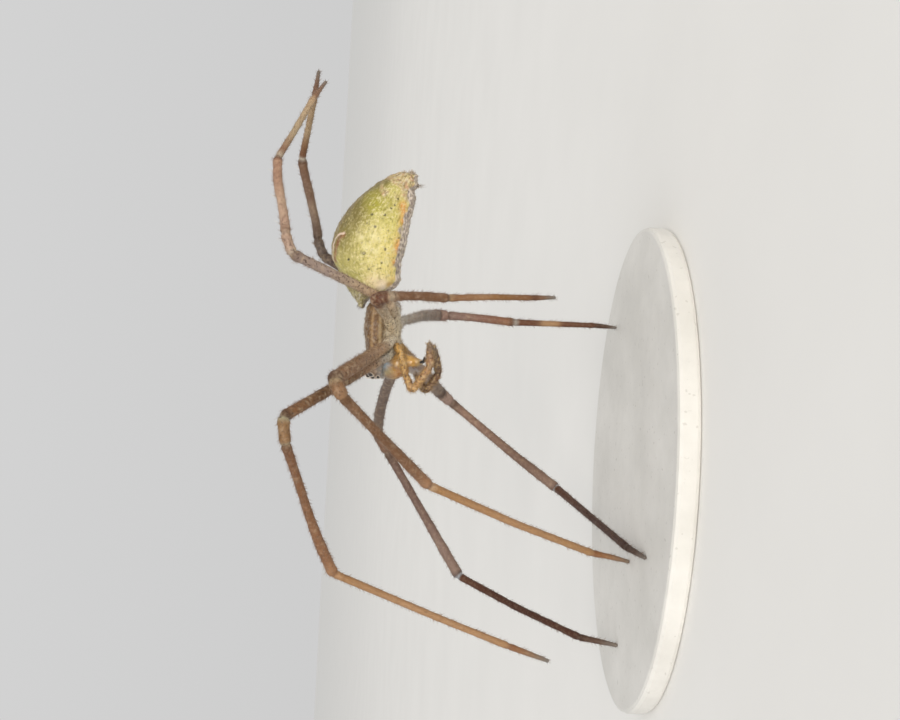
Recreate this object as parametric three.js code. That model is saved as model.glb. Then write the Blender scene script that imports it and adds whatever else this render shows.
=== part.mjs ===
// A humped spider of the Deinopidae, an adult female, standing on a plain oval base.
// Millimetres, +Z up, +X ahead of the spider, +Y to its left, with the origin on the floor under the
// middle of the whole. The body is built in a frame of its own, level and centred on the head part,
// and is then set at its height and leant over to its right. The legs run from the body to the base.
import * as THREE from "three";

// The gap that two neighbouring pieces keep, face to face
const GAP = 0.12;

// How the body is carried: the height of its middle over the base, its lean to the right, in degrees
const BODY_HEIGHT = 17.65;
const BODY_LEAN = 15;

// The oval base, its middle measured from under the head part
const BASE = { length: 34, width: 23, thick: 1.5, ahead: 8.5, left: -2.5, bevel: 0.3, steps: 40 };

// Places under the head part that the origin is moved from, to the middle of the whole
const MIDDLE = { ahead: 4.19, left: -0.8 };

// The head part: stations from the rear to the face, each with the half width, and the highest and
// lowest line. Its underside is flat where the leg roots lie.
const CARAPACE = [
  { ahead: -2.12, wide: 0.6, top: 0.92, low: 0.12 },
  { ahead: -1.96, wide: 1.0, top: 1.18, low: 0.03 },
  { ahead: -1.6, wide: 1.34, top: 1.36, low: 0 },
  { ahead: -0.6, wide: 1.62, top: 1.42, low: 0 },
  { ahead: 0.4, wide: 1.56, top: 1.33, low: 0 },
  { ahead: 1.2, wide: 1.34, top: 1.26, low: 0 },
  { ahead: 2.0, wide: 1.14, top: 1.28, low: -0.02 },
  { ahead: 2.5, wide: 1.02, top: 1.2, low: -0.04 },
  { ahead: 2.8, wide: 0.84, top: 1.02, low: -0.02 },
  { ahead: 2.92, wide: 0.52, top: 0.8, low: 0.12 },
];

// The breast plate between the leg roots
const STERNUM = [
  { ahead: -2.1, wide: 0.2, top: -0.3, low: -0.6 },
  { ahead: -1.7, wide: 0.5, top: -0.14, low: -0.82 },
  { ahead: -0.8, wide: 0.66, top: -0.14, low: -0.92 },
  { ahead: 0.3, wide: 0.68, top: -0.14, low: -0.92 },
  { ahead: 1.05, wide: 0.5, top: -0.14, low: -0.84 },
];

// The abdomen: a hump high over the middle, a straight belly, and a front that hangs over the head part
const ABDOMEN = [
  { ahead: -1.72, wide: 0.3, top: 1.89, low: 1.66 },
  { ahead: -1.98, wide: 0.66, top: 2.05, low: 1.54 },
  { ahead: -2.35, wide: 1.02, top: 2.38, low: 1.17 },
  { ahead: -2.9, wide: 1.36, top: 2.79, low: -0.13 },
  { ahead: -3.45, wide: 1.58, top: 3.11, low: -0.59 },
  { ahead: -4.1, wide: 1.76, top: 3.49, low: -0.69 },
  { ahead: -4.9, wide: 1.9, top: 3.94, low: -0.73 },
  { ahead: -5.9, wide: 1.96, top: 4.01, low: -0.97 },
  { ahead: -6.9, wide: 1.93, top: 3.75, low: -1.1 },
  { ahead: -7.6, wide: 1.85, top: 3.41, low: -1.21 },
  { ahead: -8.3, wide: 1.72, top: 2.93, low: -1.35 },
  { ahead: -9.0, wide: 1.53, top: 2.31, low: -1.43 },
  { ahead: -9.6, wide: 1.32, top: 1.63, low: -1.4 },
  { ahead: -10.1, wide: 1.08, top: 0.99, low: -1.46 },
  { ahead: -10.45, wide: 0.82, top: 0.34, low: -1.44 },
  { ahead: -10.62, wide: 0.6, top: -0.16, low: -1.39 },
];

// The narrow waist, and the slope of the abdomen's front that it meets
const PEDICEL = { radius: 0.22, front: -2.24, rear: -2.47, high: 0.5, slope: [0.92, 0, -0.39] };

// Spinnerets, in pairs out of the abdomen's end
const SPINNERETS = [
  { name: "front", ahead: -10.74, out: 0.27, high: -1.16, length: 0.3, root: 0.19, tip: 0.1 },
  { name: "rear", ahead: -10.74, out: 0.2, high: -0.66, length: 0.24, root: 0.15, tip: 0.09 },
];

// Eyes in pairs on the head part: how far ahead, and the turn round the section from the side line up
const EYES = [
  { name: "posterior_median", ahead: 2.78, turn: 62, radius: 0.17 },
  { name: "anterior_median", ahead: 2.9, turn: 32, radius: 0.12 },
  { name: "anterior_lateral", ahead: 2.83, turn: -24, radius: 0.12 },
  { name: "posterior_lateral", ahead: 2.68, turn: 20, radius: 0.2 },
];

// Jaws: middle line and half sizes across and along the body, from the face down
const CHELICERA = [
  { ahead: 2.12, high: -0.18, out: 0.42, across: 0.36, along: 0.78 },
  { ahead: 2.1, high: -0.8, out: 0.42, across: 0.38, along: 0.86 },
  { ahead: 2.02, high: -1.35, out: 0.41, across: 0.36, along: 0.76 },
  { ahead: 1.88, high: -1.9, out: 0.39, across: 0.28, along: 0.48 },
  { ahead: 1.82, high: -2.38, out: 0.36, across: 0.17, along: 0.2 },
];
const FANG = { from: [1.81, 0.35, -2.5], bend: [1.72, 0.3, -2.67], to: [1.42, 0.19, -2.7], root: 0.1, tip: 0.035 };

// Palps: joints of the left one and its radii. The right one is curled a little less.
const PALP = {
  left: [[1.05, 0.98, -1.22], [2.7, 1.2, -1.72], [3.71, 1.25, -2.19], [2.07, 1.2, -3.3], [0.6, 1.15, -3.18]],
  right: [[1.05, 0.98, -1.22], [2.7, 1.2, -2.0], [3.79, 1.25, -2.63], [2.5, 1.2, -3.5], [0.73, 1.15, -3.09]],
  pieces: [
    { name: "femur", from: 0, to: 2 },
    { name: "tibia", from: 2, to: 3 },
    { name: "tarsus", from: 3, to: 4 },
  ],
  radii: [[0.19, 0.2, 0.2], [0.21, 0.22, 0.22], [0.22, 0.23, 0.22], [0.23, 0.24, 0.18, 0.09]],
};

// Legs by pair, counted from the front. root is where the leg leaves the breast plate and how far the
// coxa swings forward. Lengths run from the coxa to the tarsus, and radii go along each piece.
const ROOT = { out: 0.86, down: 0.5 };
const COXA = 1.2;
const PAIRS = {
  1: {
    root: 1.28,
    swing: 15,
    lengths: [12.0, 1.64, 11.37, 12.02, 2.76],
    radii: [
      [0.34, 0.36, 0.32],
      [0.3, 0.34, 0.38, 0.38, 0.37],
      [0.36, 0.34],
      [0.31, 0.28, 0.3, 0.33, 0.38, 0.36],
      [0.3, 0.26, 0.25, 0.24],
      [0.22, 0.2, 0.13],
    ],
  },
  2: {
    root: 0.45,
    swing: 18,
    lengths: [10.71, 1.21, 11.09, 13.85, 2.71],
    radii: [
      [0.34, 0.36, 0.32],
      [0.3, 0.38, 0.43, 0.43, 0.4],
      [0.39, 0.36],
      [0.31, 0.28, 0.29, 0.31, 0.36, 0.35],
      [0.3, 0.26, 0.25, 0.24],
      [0.22, 0.2, 0.13],
    ],
  },
  3: {
    root: -0.42,
    swing: -25,
    lengths: [7.22, 0.86, 4.93, 6.15, 1.72],
    radii: [
      [0.34, 0.36, 0.32],
      [0.27, 0.32, 0.37, 0.38],
      [0.38, 0.34],
      [0.32, 0.3, 0.33, 0.31],
      [0.28, 0.26, 0.25],
      [0.22, 0.2, 0.13],
    ],
  },
  4: {
    root: -1.32,
    swing: -36,
    lengths: [7.71, 1.37, 5.81, 5.18, 1.76],
    radii: [
      [0.34, 0.36, 0.32],
      [0.28, 0.35, 0.39, 0.37],
      [0.36, 0.34],
      [0.33, 0.31, 0.34, 0.32],
      [0.27, 0.26, 0.25],
      [0.22, 0.19, 0.12],
    ],
  },
};

// How each leg is held: the turn of every piece from straight ahead to the left, and its rise over
// the level, in degrees. A leg that stands has no rise for its last piece, which comes down to the base.
const LEGS = [
  { pair: 1, side: "left", turns: [69.3, -3, -39.4, 2.5, -13], rises: [30.7, -3, -17.5, -69.8, -68] },
  { pair: 2, side: "left", turns: [77.8, -4, -54.6, -46.5, -34], rises: [18.6, -28, -32.2, -60.3] },
  { pair: 3, side: "left", turns: [97.5, 164, -93.8, -102, -103], rises: [9.3, -75.5, -49.3, -67.7, -69] },
  { pair: 4, side: "left", turns: [123.9, -173, -150.8, -157, -143], rises: [54.1, 27.6, 7.3, -22.4, -23.4] },
  { pair: 1, side: "right", turns: [-60.1, -25.6, -3.5, 73.9, 81], rises: [2, -23.3, -33.6, -40.6] },
  { pair: 2, side: "right", turns: [-70.5, -42, -11.5, 79.8, 84.7], rises: [-21.8, -45.2, -53.8, -9.6] },
  { pair: 3, side: "right", turns: [-96.4, -96.4, 70.8, -155.6, -82], rises: [-25.9, -68.4, -83.4, -88.8] },
  { pair: 4, side: "right", turns: [-127.1, -173.5, 164.1, 134.1, 145], rises: [44.4, 28.5, 10.7, -6.2, -6] },
];

// Sides of the round pieces
const SIDES = { body: 24, abdomen: 28, leg: 10, small: 8 };

// Colours as the eye takes them, and how much they shine
const FINISH = {
  abdomen: { color: "#b5ad45", roughness: 0.55 },
  carapace: { color: "#a3854f", roughness: 0.55 },
  sternum: { color: "#b9a584", roughness: 0.6 },
  waist: { color: "#9a8060", roughness: 0.6 },
  femur: { color: "#98796a", roughness: 0.55 },
  tibia: { color: "#b0825a", roughness: 0.55 },
  metatarsus: { color: "#b98b5e", roughness: 0.5 },
  tarsus: { color: "#a97750", roughness: 0.5 },
  jaw: { color: "#c39a4c", roughness: 0.4 },
  fang: { color: "#17100c", roughness: 0.25 },
  palp: { color: "#b99548", roughness: 0.55 },
  spinneret: { color: "#b59a78", roughness: 0.6 },
  eye: { color: "#1a1512", roughness: 0.1 },
  base: { color: "#d9d7d2", roughness: 0.6 },
};

const radians = THREE.MathUtils.degToRad;
const vector = (point) => new THREE.Vector3(...point);
const standFloor = BASE.thick + GAP;

// A point of the left half of the body, or its mirror image on the right
function onSide(point, side) {
  const [x, y, z] = point;
  return new THREE.Vector3(x, side === "left" ? y : -y, z);
}

// A closed skin through rings that all have the same number of points, counter-clockwise as seen
// from the far end, with a flat cap on the first and the last.
function skin(rings) {
  const sides = rings[0].length;
  const middle = (ring) => ring.reduce((sum, p) => sum.add(p), new THREE.Vector3()).divideScalar(sides);
  const points = [...rings.flat(), middle(rings[0]), middle(rings[rings.length - 1])];
  const firstCap = rings.length * sides;
  const lastRing = firstCap - sides;
  const faces = [];
  for (let j = 0; j < sides; j += 1) {
    const k = (j + 1) % sides;
    for (let i = 0; i < rings.length - 1; i += 1) {
      const near = i * sides;
      const far = near + sides;
      faces.push(near + j, near + k, far + k, near + j, far + k, far + j);
    }
    faces.push(firstCap, k, j, firstCap + 1, lastRing + j, lastRing + k);
  }
  const geometry = new THREE.BufferGeometry();
  const numbers = points.flatMap((p) => [p.x, p.y, p.z]);
  geometry.setAttribute("position", new THREE.Float32BufferAttribute(numbers, 3));
  geometry.setIndex(faces);
  geometry.computeVertexNormals();
  return geometry;
}

// The named piece: a geometry with its finish
function piece(name, geometry, finish) {
  const mesh = new THREE.Mesh(geometry, new THREE.MeshStandardMaterial({ metalness: 0, ...FINISH[finish] }));
  mesh.name = name;
  return mesh;
}

// A point of a body section: half an ellipse over the side line and half an ellipse under it, with
// the side line a share of the height up. turn is counted from the left side line upwards.
const SIDE_LINE = 0.42;
function sectionPoint(station, turn) {
  const { ahead, wide, top, low } = station;
  const line = low + (top - low) * SIDE_LINE;
  const reach = Math.sin(turn) > 0 ? top - line : line - low;
  return new THREE.Vector3(ahead, wide * Math.cos(turn), line + reach * Math.sin(turn));
}

// A body piece through its stations. Turning from left to up goes counter-clockwise as seen from the
// rear, so stations from the front backwards are turned round first.
function bodyPiece(stations, sides) {
  const forwards = stations[0].ahead < stations[1].ahead;
  const ordered = forwards ? stations : [...stations].reverse();
  return skin(
    ordered.map((station) =>
      Array.from({ length: sides }, (_, i) => sectionPoint(station, (-2 * Math.PI * i) / sides)).reverse(),
    ),
  );
}

// One joint of a chain as rings see it: the ring goes round the middle line of one segment and then
// slides along it on to the plane of the joint, so that two segments meet face to face at a bend.
function ringAt(centre, frame, radius, plane, sides) {
  const [across, along] = Array.isArray(radius) ? radius : [radius, radius];
  return Array.from({ length: sides }, (_, i) => {
    const turn = (2 * Math.PI * i) / sides;
    const arm = frame.one
      .clone()
      .multiplyScalar(across * Math.cos(turn))
      .addScaledVector(frame.two, along * Math.sin(turn));
    const slide = -arm.dot(plane) / frame.ahead.dot(plane);
    return arm.addScaledVector(frame.ahead, slide).add(centre);
  });
}

// Frames for the segments of a chain of joints, each turned from the one before by the least turn.
function framesAlong(joints) {
  const frames = [];
  for (let i = 0; i < joints.length - 1; i += 1) {
    const ahead = joints[i + 1].clone().sub(joints[i]).normalize();
    if (i === 0) {
      const helper = Math.abs(ahead.z) > 0.9 ? new THREE.Vector3(1, 0, 0) : new THREE.Vector3(0, 0, 1);
      const one = helper.clone().cross(ahead).normalize();
      frames.push({ ahead, one, two: ahead.clone().cross(one) });
    } else {
      const last = frames[i - 1];
      const turn = new THREE.Quaternion().setFromUnitVectors(last.ahead, ahead);
      frames.push({ ahead, one: last.one.clone().applyQuaternion(turn), two: last.two.clone().applyQuaternion(turn) });
    }
  }
  return frames;
}

// The plane that two segments share at a joint, or the one given for an end of the chain
function jointPlane(frames, joint, ends) {
  if (joint === 0) {
    return ends.start ?? frames[0].ahead;
  }
  if (joint === frames.length) {
    return ends.end ?? frames[joint - 1].ahead;
  }
  return frames[joint - 1].ahead.clone().add(frames[joint].ahead).normalize();
}

// The piece of a chain between two joints. Half the gap is taken off at each joint inside the chain.
function chainPiece(joints, radii, from, to, sides, ends = {}) {
  const frames = framesAlong(joints);
  const rings = [];
  for (let s = from; s < to; s += 1) {
    const frame = frames[s];
    const length = joints[s].distanceTo(joints[s + 1]);
    radii[s].forEach((radius, i) => {
      const share = i / (radii[s].length - 1);
      const first = i === 0;
      const last = share === 1;
      if (first && s > from) {
        return;
      }
      let plane = frame.ahead;
      let along = share * length;
      if (first || last) {
        const joint = first ? s : s + 1;
        plane = jointPlane(frames, joint, ends);
        const inside = joint > 0 && joint < frames.length;
        const parted = inside && (joint === from || joint === to);
        const shift = parted ? GAP / 2 / frame.ahead.dot(plane) : 0;
        along += first ? shift : -shift;
      }
      const centre = joints[s].clone().addScaledVector(frame.ahead, along);
      rings.push(ringAt(centre, frame, radius, plane, sides));
    });
  }
  return skin(rings);
}

// The body frame, and a point of it in the frame of the whole
const body = new THREE.Group();
body.position.set(0, 0, standFloor + BODY_HEIGHT);
body.rotation.x = radians(BODY_LEAN);
body.updateMatrix();
const fromBody = (point) => point.clone().applyMatrix4(body.matrix);

// Head part, breast plate, waist and abdomen
body.add(piece("carapace", bodyPiece(CARAPACE, SIDES.body), "carapace"));
body.add(piece("sternum", bodyPiece(STERNUM, SIDES.body), "sternum"));
body.add(piece("abdomen", bodyPiece(ABDOMEN, SIDES.abdomen), "abdomen"));

function pedicel() {
  const joints = [
    new THREE.Vector3(PEDICEL.front, 0, PEDICEL.high),
    new THREE.Vector3(PEDICEL.rear, 0, PEDICEL.high),
  ];
  const radii = [[PEDICEL.radius, PEDICEL.radius, PEDICEL.radius]];
  const end = vector(PEDICEL.slope).normalize();
  return chainPiece(joints, radii, 0, 1, SIDES.leg, { end });
}
body.add(piece("pedicel", pedicel(), "waist"));

// Eyes are low domes on the head part, each facing the way that its skin does there
function headSkin(ahead, turn) {
  const next = CARAPACE.findIndex((station) => station.ahead >= ahead);
  const [a, b] = [CARAPACE[next - 1], CARAPACE[next]];
  const share = (ahead - a.ahead) / (b.ahead - a.ahead);
  const station = { ahead };
  for (const size of ["wide", "top", "low"]) {
    station[size] = THREE.MathUtils.lerp(a[size], b[size], share);
  }
  const point = sectionPoint(station, turn);
  const round = sectionPoint(station, turn + 0.01).sub(point);
  const forward = sectionPoint(b, turn).sub(sectionPoint(a, turn));
  return { point, normal: forward.cross(round).negate().normalize() };
}

function dome(radius) {
  const arc = Array.from({ length: 6 }, (_, i) => {
    const turn = (Math.PI / 2) * (i / 5);
    return new THREE.Vector2(i === 5 ? 0 : radius * Math.cos(turn), radius * Math.sin(turn));
  });
  return new THREE.LatheGeometry([new THREE.Vector2(0, 0), ...arc], 14);
}

for (const { name, ahead, turn, radius } of EYES) {
  for (const side of ["left", "right"]) {
    const seat = headSkin(ahead, radians(side === "left" ? turn : 180 - turn));
    const eye = piece(`eye_${name}_${side}`, dome(radius), "eye");
    const outwards = seat.normal.dot(seat.point) < 0 ? seat.normal.negate() : seat.normal;
    eye.quaternion.setFromUnitVectors(new THREE.Vector3(0, 1, 0), outwards);
    eye.position.copy(seat.point).addScaledVector(outwards, GAP / 2);
    body.add(eye);
  }
}

// Jaws and fangs
function chelicera(side) {
  return skin(
    CHELICERA.map(({ ahead, high, out, across, along }) => {
      const centre = onSide([ahead, out, high], side);
      return Array.from({ length: SIDES.leg }, (_, i) => {
        const turn = (-2 * Math.PI * i) / SIDES.leg;
        return new THREE.Vector3(along * Math.cos(turn), across * Math.sin(turn), 0).add(centre);
      });
    }),
  );
}

for (const side of ["left", "right"]) {
  body.add(piece(`chelicera_${side}`, chelicera(side), "jaw"));
  const joints = [FANG.from, FANG.bend, FANG.to].map((point) => onSide(point, side));
  const half = (FANG.root + FANG.tip) / 2;
  const radii = [[FANG.root, half], [half, FANG.tip]];
  body.add(piece(`fang_${side}`, chainPiece(joints, radii, 0, 2, SIDES.small), "fang"));
}

// Palps
for (const side of ["left", "right"]) {
  const joints = PALP[side].map((point) => onSide(point, side));
  for (const { name, from, to } of PALP.pieces) {
    body.add(piece(`palp_${side}_${name}`, chainPiece(joints, PALP.radii, from, to, SIDES.small), "palp"));
  }
}

// Spinnerets
for (const { name, ahead, out, high, length, root, tip } of SPINNERETS) {
  for (const side of ["left", "right"]) {
    const joints = [onSide([ahead, out, high], side), onSide([ahead - length, out * 0.8, high], side)];
    const geometry = chainPiece(joints, [[root, (root + tip) / 2, tip]], 0, 1, SIDES.small);
    body.add(piece(`spinneret_${name}_${side}`, geometry, "spinneret"));
  }
}

// Joints of a leg in the frame of the whole: root, end of the coxa, knee and so on to the tip
function legJoints({ pair, side, turns, rises }) {
  const { root, swing, lengths } = PAIRS[pair];
  const start = [root, ROOT.out, -ROOT.down];
  const coxaEnd = [
    root + COXA * Math.sin(radians(swing)),
    ROOT.out + COXA * Math.cos(radians(swing)),
    -ROOT.down,
  ];
  const joints = [fromBody(onSide(start, side)), fromBody(onSide(coxaEnd, side))];
  lengths.forEach((length, i) => {
    const last = joints[joints.length - 1];
    const drop = Math.min(1, (last.z - standFloor) / length);
    const rise = rises[i] === undefined ? -Math.asin(drop) : radians(rises[i]);
    const turn = radians(turns[i]);
    const step = new THREE.Vector3(Math.cos(rise) * Math.cos(turn), Math.cos(rise) * Math.sin(turn), Math.sin(rise));
    joints.push(last.clone().addScaledVector(step, length));
  });
  return joints;
}

// The four pieces of a leg. The first holds coxa and femur, the second patella and tibia.
const LEG_PIECES = [
  { name: "femur", from: 0, to: 2 },
  { name: "tibia", from: 2, to: 4 },
  { name: "metatarsus", from: 4, to: 5 },
  { name: "tarsus", from: 5, to: 6 },
];

const legs = new THREE.Group();
for (const leg of LEGS) {
  const joints = legJoints(leg);
  const stands = leg.rises.length < leg.turns.length;
  const ends = { end: stands ? new THREE.Vector3(0, 0, -1) : undefined };
  for (const { name, from, to } of LEG_PIECES) {
    const geometry = chainPiece(joints, PAIRS[leg.pair].radii, from, to, SIDES.leg, ends);
    legs.add(piece(`leg${leg.pair}_${leg.side}_${name}`, geometry, name));
  }
}

// The oval base, its edge bevelled
function base() {
  const oval = new THREE.Shape();
  const [halfLength, halfWidth] = [BASE.length / 2 - BASE.bevel, BASE.width / 2 - BASE.bevel];
  oval.absellipse(BASE.ahead, BASE.left, halfLength, halfWidth, 0, 2 * Math.PI, false, 0);
  const geometry = new THREE.ExtrudeGeometry(oval, {
    depth: BASE.thick - 2 * BASE.bevel,
    bevelThickness: BASE.bevel,
    bevelSize: BASE.bevel,
    bevelSegments: 2,
    curveSegments: BASE.steps,
  });
  geometry.translate(0, 0, BASE.bevel);
  return geometry;
}

const spider = new THREE.Group();
spider.add(body, legs, piece("stand_base", base(), "base"));
spider.position.set(-MIDDLE.ahead, -MIDDLE.left, 0);

export default spider;
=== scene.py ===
import math
from collections import namedtuple

import bpy
import numpy as np
from mathutils import Matrix, Vector


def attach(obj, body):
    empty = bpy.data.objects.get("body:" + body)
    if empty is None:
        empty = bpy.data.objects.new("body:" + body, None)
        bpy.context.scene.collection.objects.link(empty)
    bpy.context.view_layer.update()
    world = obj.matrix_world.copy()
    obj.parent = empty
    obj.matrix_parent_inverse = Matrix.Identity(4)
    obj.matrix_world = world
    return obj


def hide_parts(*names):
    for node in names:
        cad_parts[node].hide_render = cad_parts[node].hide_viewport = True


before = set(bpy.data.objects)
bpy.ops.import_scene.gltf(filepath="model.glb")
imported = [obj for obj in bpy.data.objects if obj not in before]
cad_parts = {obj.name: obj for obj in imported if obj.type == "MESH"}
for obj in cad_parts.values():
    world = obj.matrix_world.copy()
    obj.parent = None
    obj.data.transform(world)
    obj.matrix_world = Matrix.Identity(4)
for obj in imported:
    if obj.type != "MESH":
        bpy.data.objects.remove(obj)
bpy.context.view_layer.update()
chance = np.random.default_rng(17)

MM = 0.001
TAU = 2 * math.pi


# Camera: as in the photograph, low on the spider's left side and rolled so that the head points down

CAMERA = {"place": (-2.77, 81.12, 23.32), "turn": 0.0869, "dip": 5.991, "roll": 86.895, "focus": 1200.0}
FRAME = {"width": 900, "height": 720, "sensor": 36.0}
CLIP = (0.002, 20)


def camera_axes():
    """Right, down and ahead of the picture. Ahead is turned and dips below the level, and the roll turns the
    other two about it."""
    turn, dip, roll = (math.radians(CAMERA[key]) for key in ("turn", "dip", "roll"))
    ahead = np.array([math.sin(turn) * math.cos(dip), -math.cos(turn) * math.cos(dip), -math.sin(dip)])
    level = np.cross(ahead, (0, 0, 1))
    level /= np.linalg.norm(level)
    upright = np.cross(level, ahead)
    right = math.cos(roll) * level - math.sin(roll) * upright
    return right, np.cross(ahead, right), ahead


RIGHT, DOWN, AHEAD = camera_axes()


def pixels(points):
    """Where points of the whole, in mm, lie in the picture: from its middle, focus times the reach sideways
    over the reach ahead."""
    reach = points - np.array(CAMERA["place"])
    depth = reach @ AHEAD
    across = FRAME["width"] / 2 + CAMERA["focus"] * (reach @ RIGHT) / depth
    down = FRAME["height"] / 2 + CAMERA["focus"] * (reach @ DOWN) / depth
    return np.stack([across, down], -1)


def add_camera():
    lens = bpy.data.cameras.new("camera")
    lens.sensor_width = FRAME["sensor"]
    lens.lens = CAMERA["focus"] * FRAME["sensor"] / FRAME["width"]
    lens.clip_start, lens.clip_end = CLIP
    camera = bpy.data.objects.new("camera", lens)
    place = [value * MM for value in CAMERA["place"]]
    turned = Matrix([list(row) for row in np.stack([RIGHT, -DOWN, -AHEAD], 1)])
    camera.matrix_world = Matrix.Translation(Vector(place)) @ turned.to_4x4()
    bpy.context.scene.collection.objects.link(camera)
    bpy.context.scene.camera = camera


add_camera()


# Colours and numbers

def linear(colour):
    """sRGB hex to linear light. A channel is divided by 12.92 near black. Above that it has 0.055 added, is
    divided by 1.055 and is raised to the power 2.4."""
    c = np.array([int(colour[i:i + 2], 16) for i in (1, 3, 5)]) / 255
    return np.where(c <= 0.04045, c / 12.92, ((c + 0.055) / 1.055) ** 2.4)


# The share of a colour seen in a photograph that belongs to the skin: the studio's light adds the rest
PIGMENT = 0.79


def pigment(colour):
    return linear(colour) * PIGMENT


def painted(tone, share, colour):
    """A tone with a colour laid over it by a share from 0 to 1."""
    share = np.clip(share, 0, 1)[..., None]
    return tone * (1 - share) + linear(colour) * share


def plain(grid, colour):
    """One tone over a whole grid."""
    return np.zeros(grid.shape) + linear(colour)


def layered(tone, coats):
    """Coats laid over a tone in turn, each a share from 0 to 1 and a colour."""
    for share, colour in coats:
        tone = painted(tone, share, colour)
    return tone


def banded(grid, marks, table):
    """A tone for each ring of a grid by its mark, straight between the table's (mark, colour) stops."""
    places = [mark for mark, _ in table]
    colours = np.array([linear(colour) for _, colour in table])
    rings = np.stack([np.interp(marks, places, channel) for channel in colours.T], -1)
    return rings[:, None] + np.zeros(grid.shape)


def near(value, middle, reach):
    """A soft hill: one at the middle, falling as e to the minus of the square of the distance over reach."""
    return np.exp(-(((value - middle) / reach) ** 2))


def step(value, low, high):
    """A soft step: nought up to low, one from high, and 3t squared less 2t cubed between."""
    t = np.clip((value - low) / (high - low), 0, 1)
    return t * t * (3 - 2 * t)


def ripple(points, size, seed, waves=28):
    """Smooth seamless noise about nought: the sum of cosine waves of about that length in many directions,
    times the root of two over their number."""
    local = np.random.default_rng(seed)
    ways = local.normal(size=(waves, 3))
    ways /= np.linalg.norm(ways, axis=1)[:, None]
    ways *= TAU / (size * local.uniform(0.7, 1.5, (waves, 1)))
    phases = local.uniform(0, TAU, waves)
    total = np.zeros(points.shape[:-1])
    for way, phase in zip(ways, phases):
        total += np.cos(points @ way + phase)
    return total * math.sqrt(2 / waves)


# Shapes

def spans(full, t):
    """Points on the smooth curve of Catmull and Rom at marks t: each span leaves and arrives along half the
    chord of its neighbours."""
    i = t.astype(int)
    f = (t - i).reshape((-1,) + (1,) * (full.ndim - 1))
    a, b, c, d = full[i], full[i + 1], full[i + 2], full[i + 3]
    return 0.5 * (2 * b + (c - a) * f + (2 * a - 5 * b + 4 * c - d) * f**2 + (3 * b - a - 3 * c + d) * f**3)


def through(rows, count, before, after):
    """The curve through rows. before and after are the rows past the two ends."""
    full = np.concatenate([[before], rows, [after], [after]])
    return spans(full, np.linspace(0, len(rows) - 1, count))


def ring_through(rows, count):
    """The same curve closed on itself, with count points round."""
    return spans(np.concatenate([rows[-1:], rows, rows[:2]]), np.arange(count) * len(rows) / count)


def around(sides):
    """Angles evenly round a ring."""
    return np.arange(sides) * TAU / sides


def unit(vectors):
    return vectors / np.maximum(np.linalg.norm(vectors, axis=-1, keepdims=True), 1e-12)


def skin_normals(grid):
    """Outward normals of a grid of rings: the cross product of the steps along it and round it."""
    along = np.gradient(grid, axis=0)
    around = np.roll(grid, -1, 1) - np.roll(grid, 1, 1)
    normals = unit(np.cross(along, around))
    outwards = grid - grid.mean(1, keepdims=True)
    return normals if (normals * outwards).sum() > 0 else -normals


def ring_faces(rings, sides):
    """Quads between rings of a closed tube, and fans to a first and a last point."""
    i, j = np.meshgrid(np.arange(rings - 1), np.arange(sides), indexing="ij")
    k = (j + 1) % sides
    quads = np.stack([i * sides + j, i * sides + k, (i + 1) * sides + k, (i + 1) * sides + j], -1)
    j = np.arange(sides)
    k = (j + 1) % sides
    first, last = rings * sides, rings * sides + 1
    end = (rings - 1) * sides
    fans = np.concatenate([
        np.stack([np.full(sides, first), k, j], -1),
        np.stack([np.full(sides, last), end + j, end + k], -1),
    ])
    return quads.reshape(-1, 4), fans


def new_piece(name, points, faces, material, layers, replaced=(), smooth=True):
    """A mesh piece at the origin from points in mm and face arrays, with its material, layers and the nodes
    of the solids that it replaces."""
    mesh = bpy.data.meshes.new(name)
    flat = np.concatenate([part.ravel() for part in faces])
    sizes = np.concatenate([np.full(len(part), part.shape[1]) for part in faces])
    starts = np.concatenate([[0], np.cumsum(sizes)[:-1]])
    mesh.vertices.add(len(points))
    mesh.vertices.foreach_set("co", (points * MM).astype(np.float32).ravel())
    mesh.loops.add(len(flat))
    mesh.loops.foreach_set("vertex_index", flat.astype(np.int32))
    mesh.polygons.add(len(sizes))
    mesh.polygons.foreach_set("loop_start", starts.astype(np.int32))
    mesh.polygons.foreach_set("loop_total", sizes.astype(np.int32))
    mesh.polygons.foreach_set("use_smooth", np.full(len(sizes), smooth))
    mesh.update(calc_edges=True)
    for layer, values in layers.items():
        if layer == "OFBake":
            data, field, values = mesh.uv_layers.new(name=layer).data, "uv", values[flat]
        elif layer == "tone":
            data, field = mesh.attributes.new(layer, "FLOAT_COLOR", "POINT").data, "color"
        else:
            data, field = mesh.attributes.new(layer, "FLOAT_VECTOR", "POINT").data, "vector"
        data.foreach_set(field, values.astype(np.float32).ravel())
    mesh.materials.append(material)
    piece = bpy.data.objects.new(name, mesh)
    bpy.context.scene.collection.objects.link(piece)
    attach(piece, "root")
    if replaced:
        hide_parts(*replaced)
    return piece


def with_flecks(tone, strength):
    """The four channels a piece carries: its tone's pigment, and how strongly its material's flecks show."""
    strength = np.broadcast_to(strength, tone.shape[:-1])
    return np.concatenate([tone * PIGMENT, strength[..., None]], -1)


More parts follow.
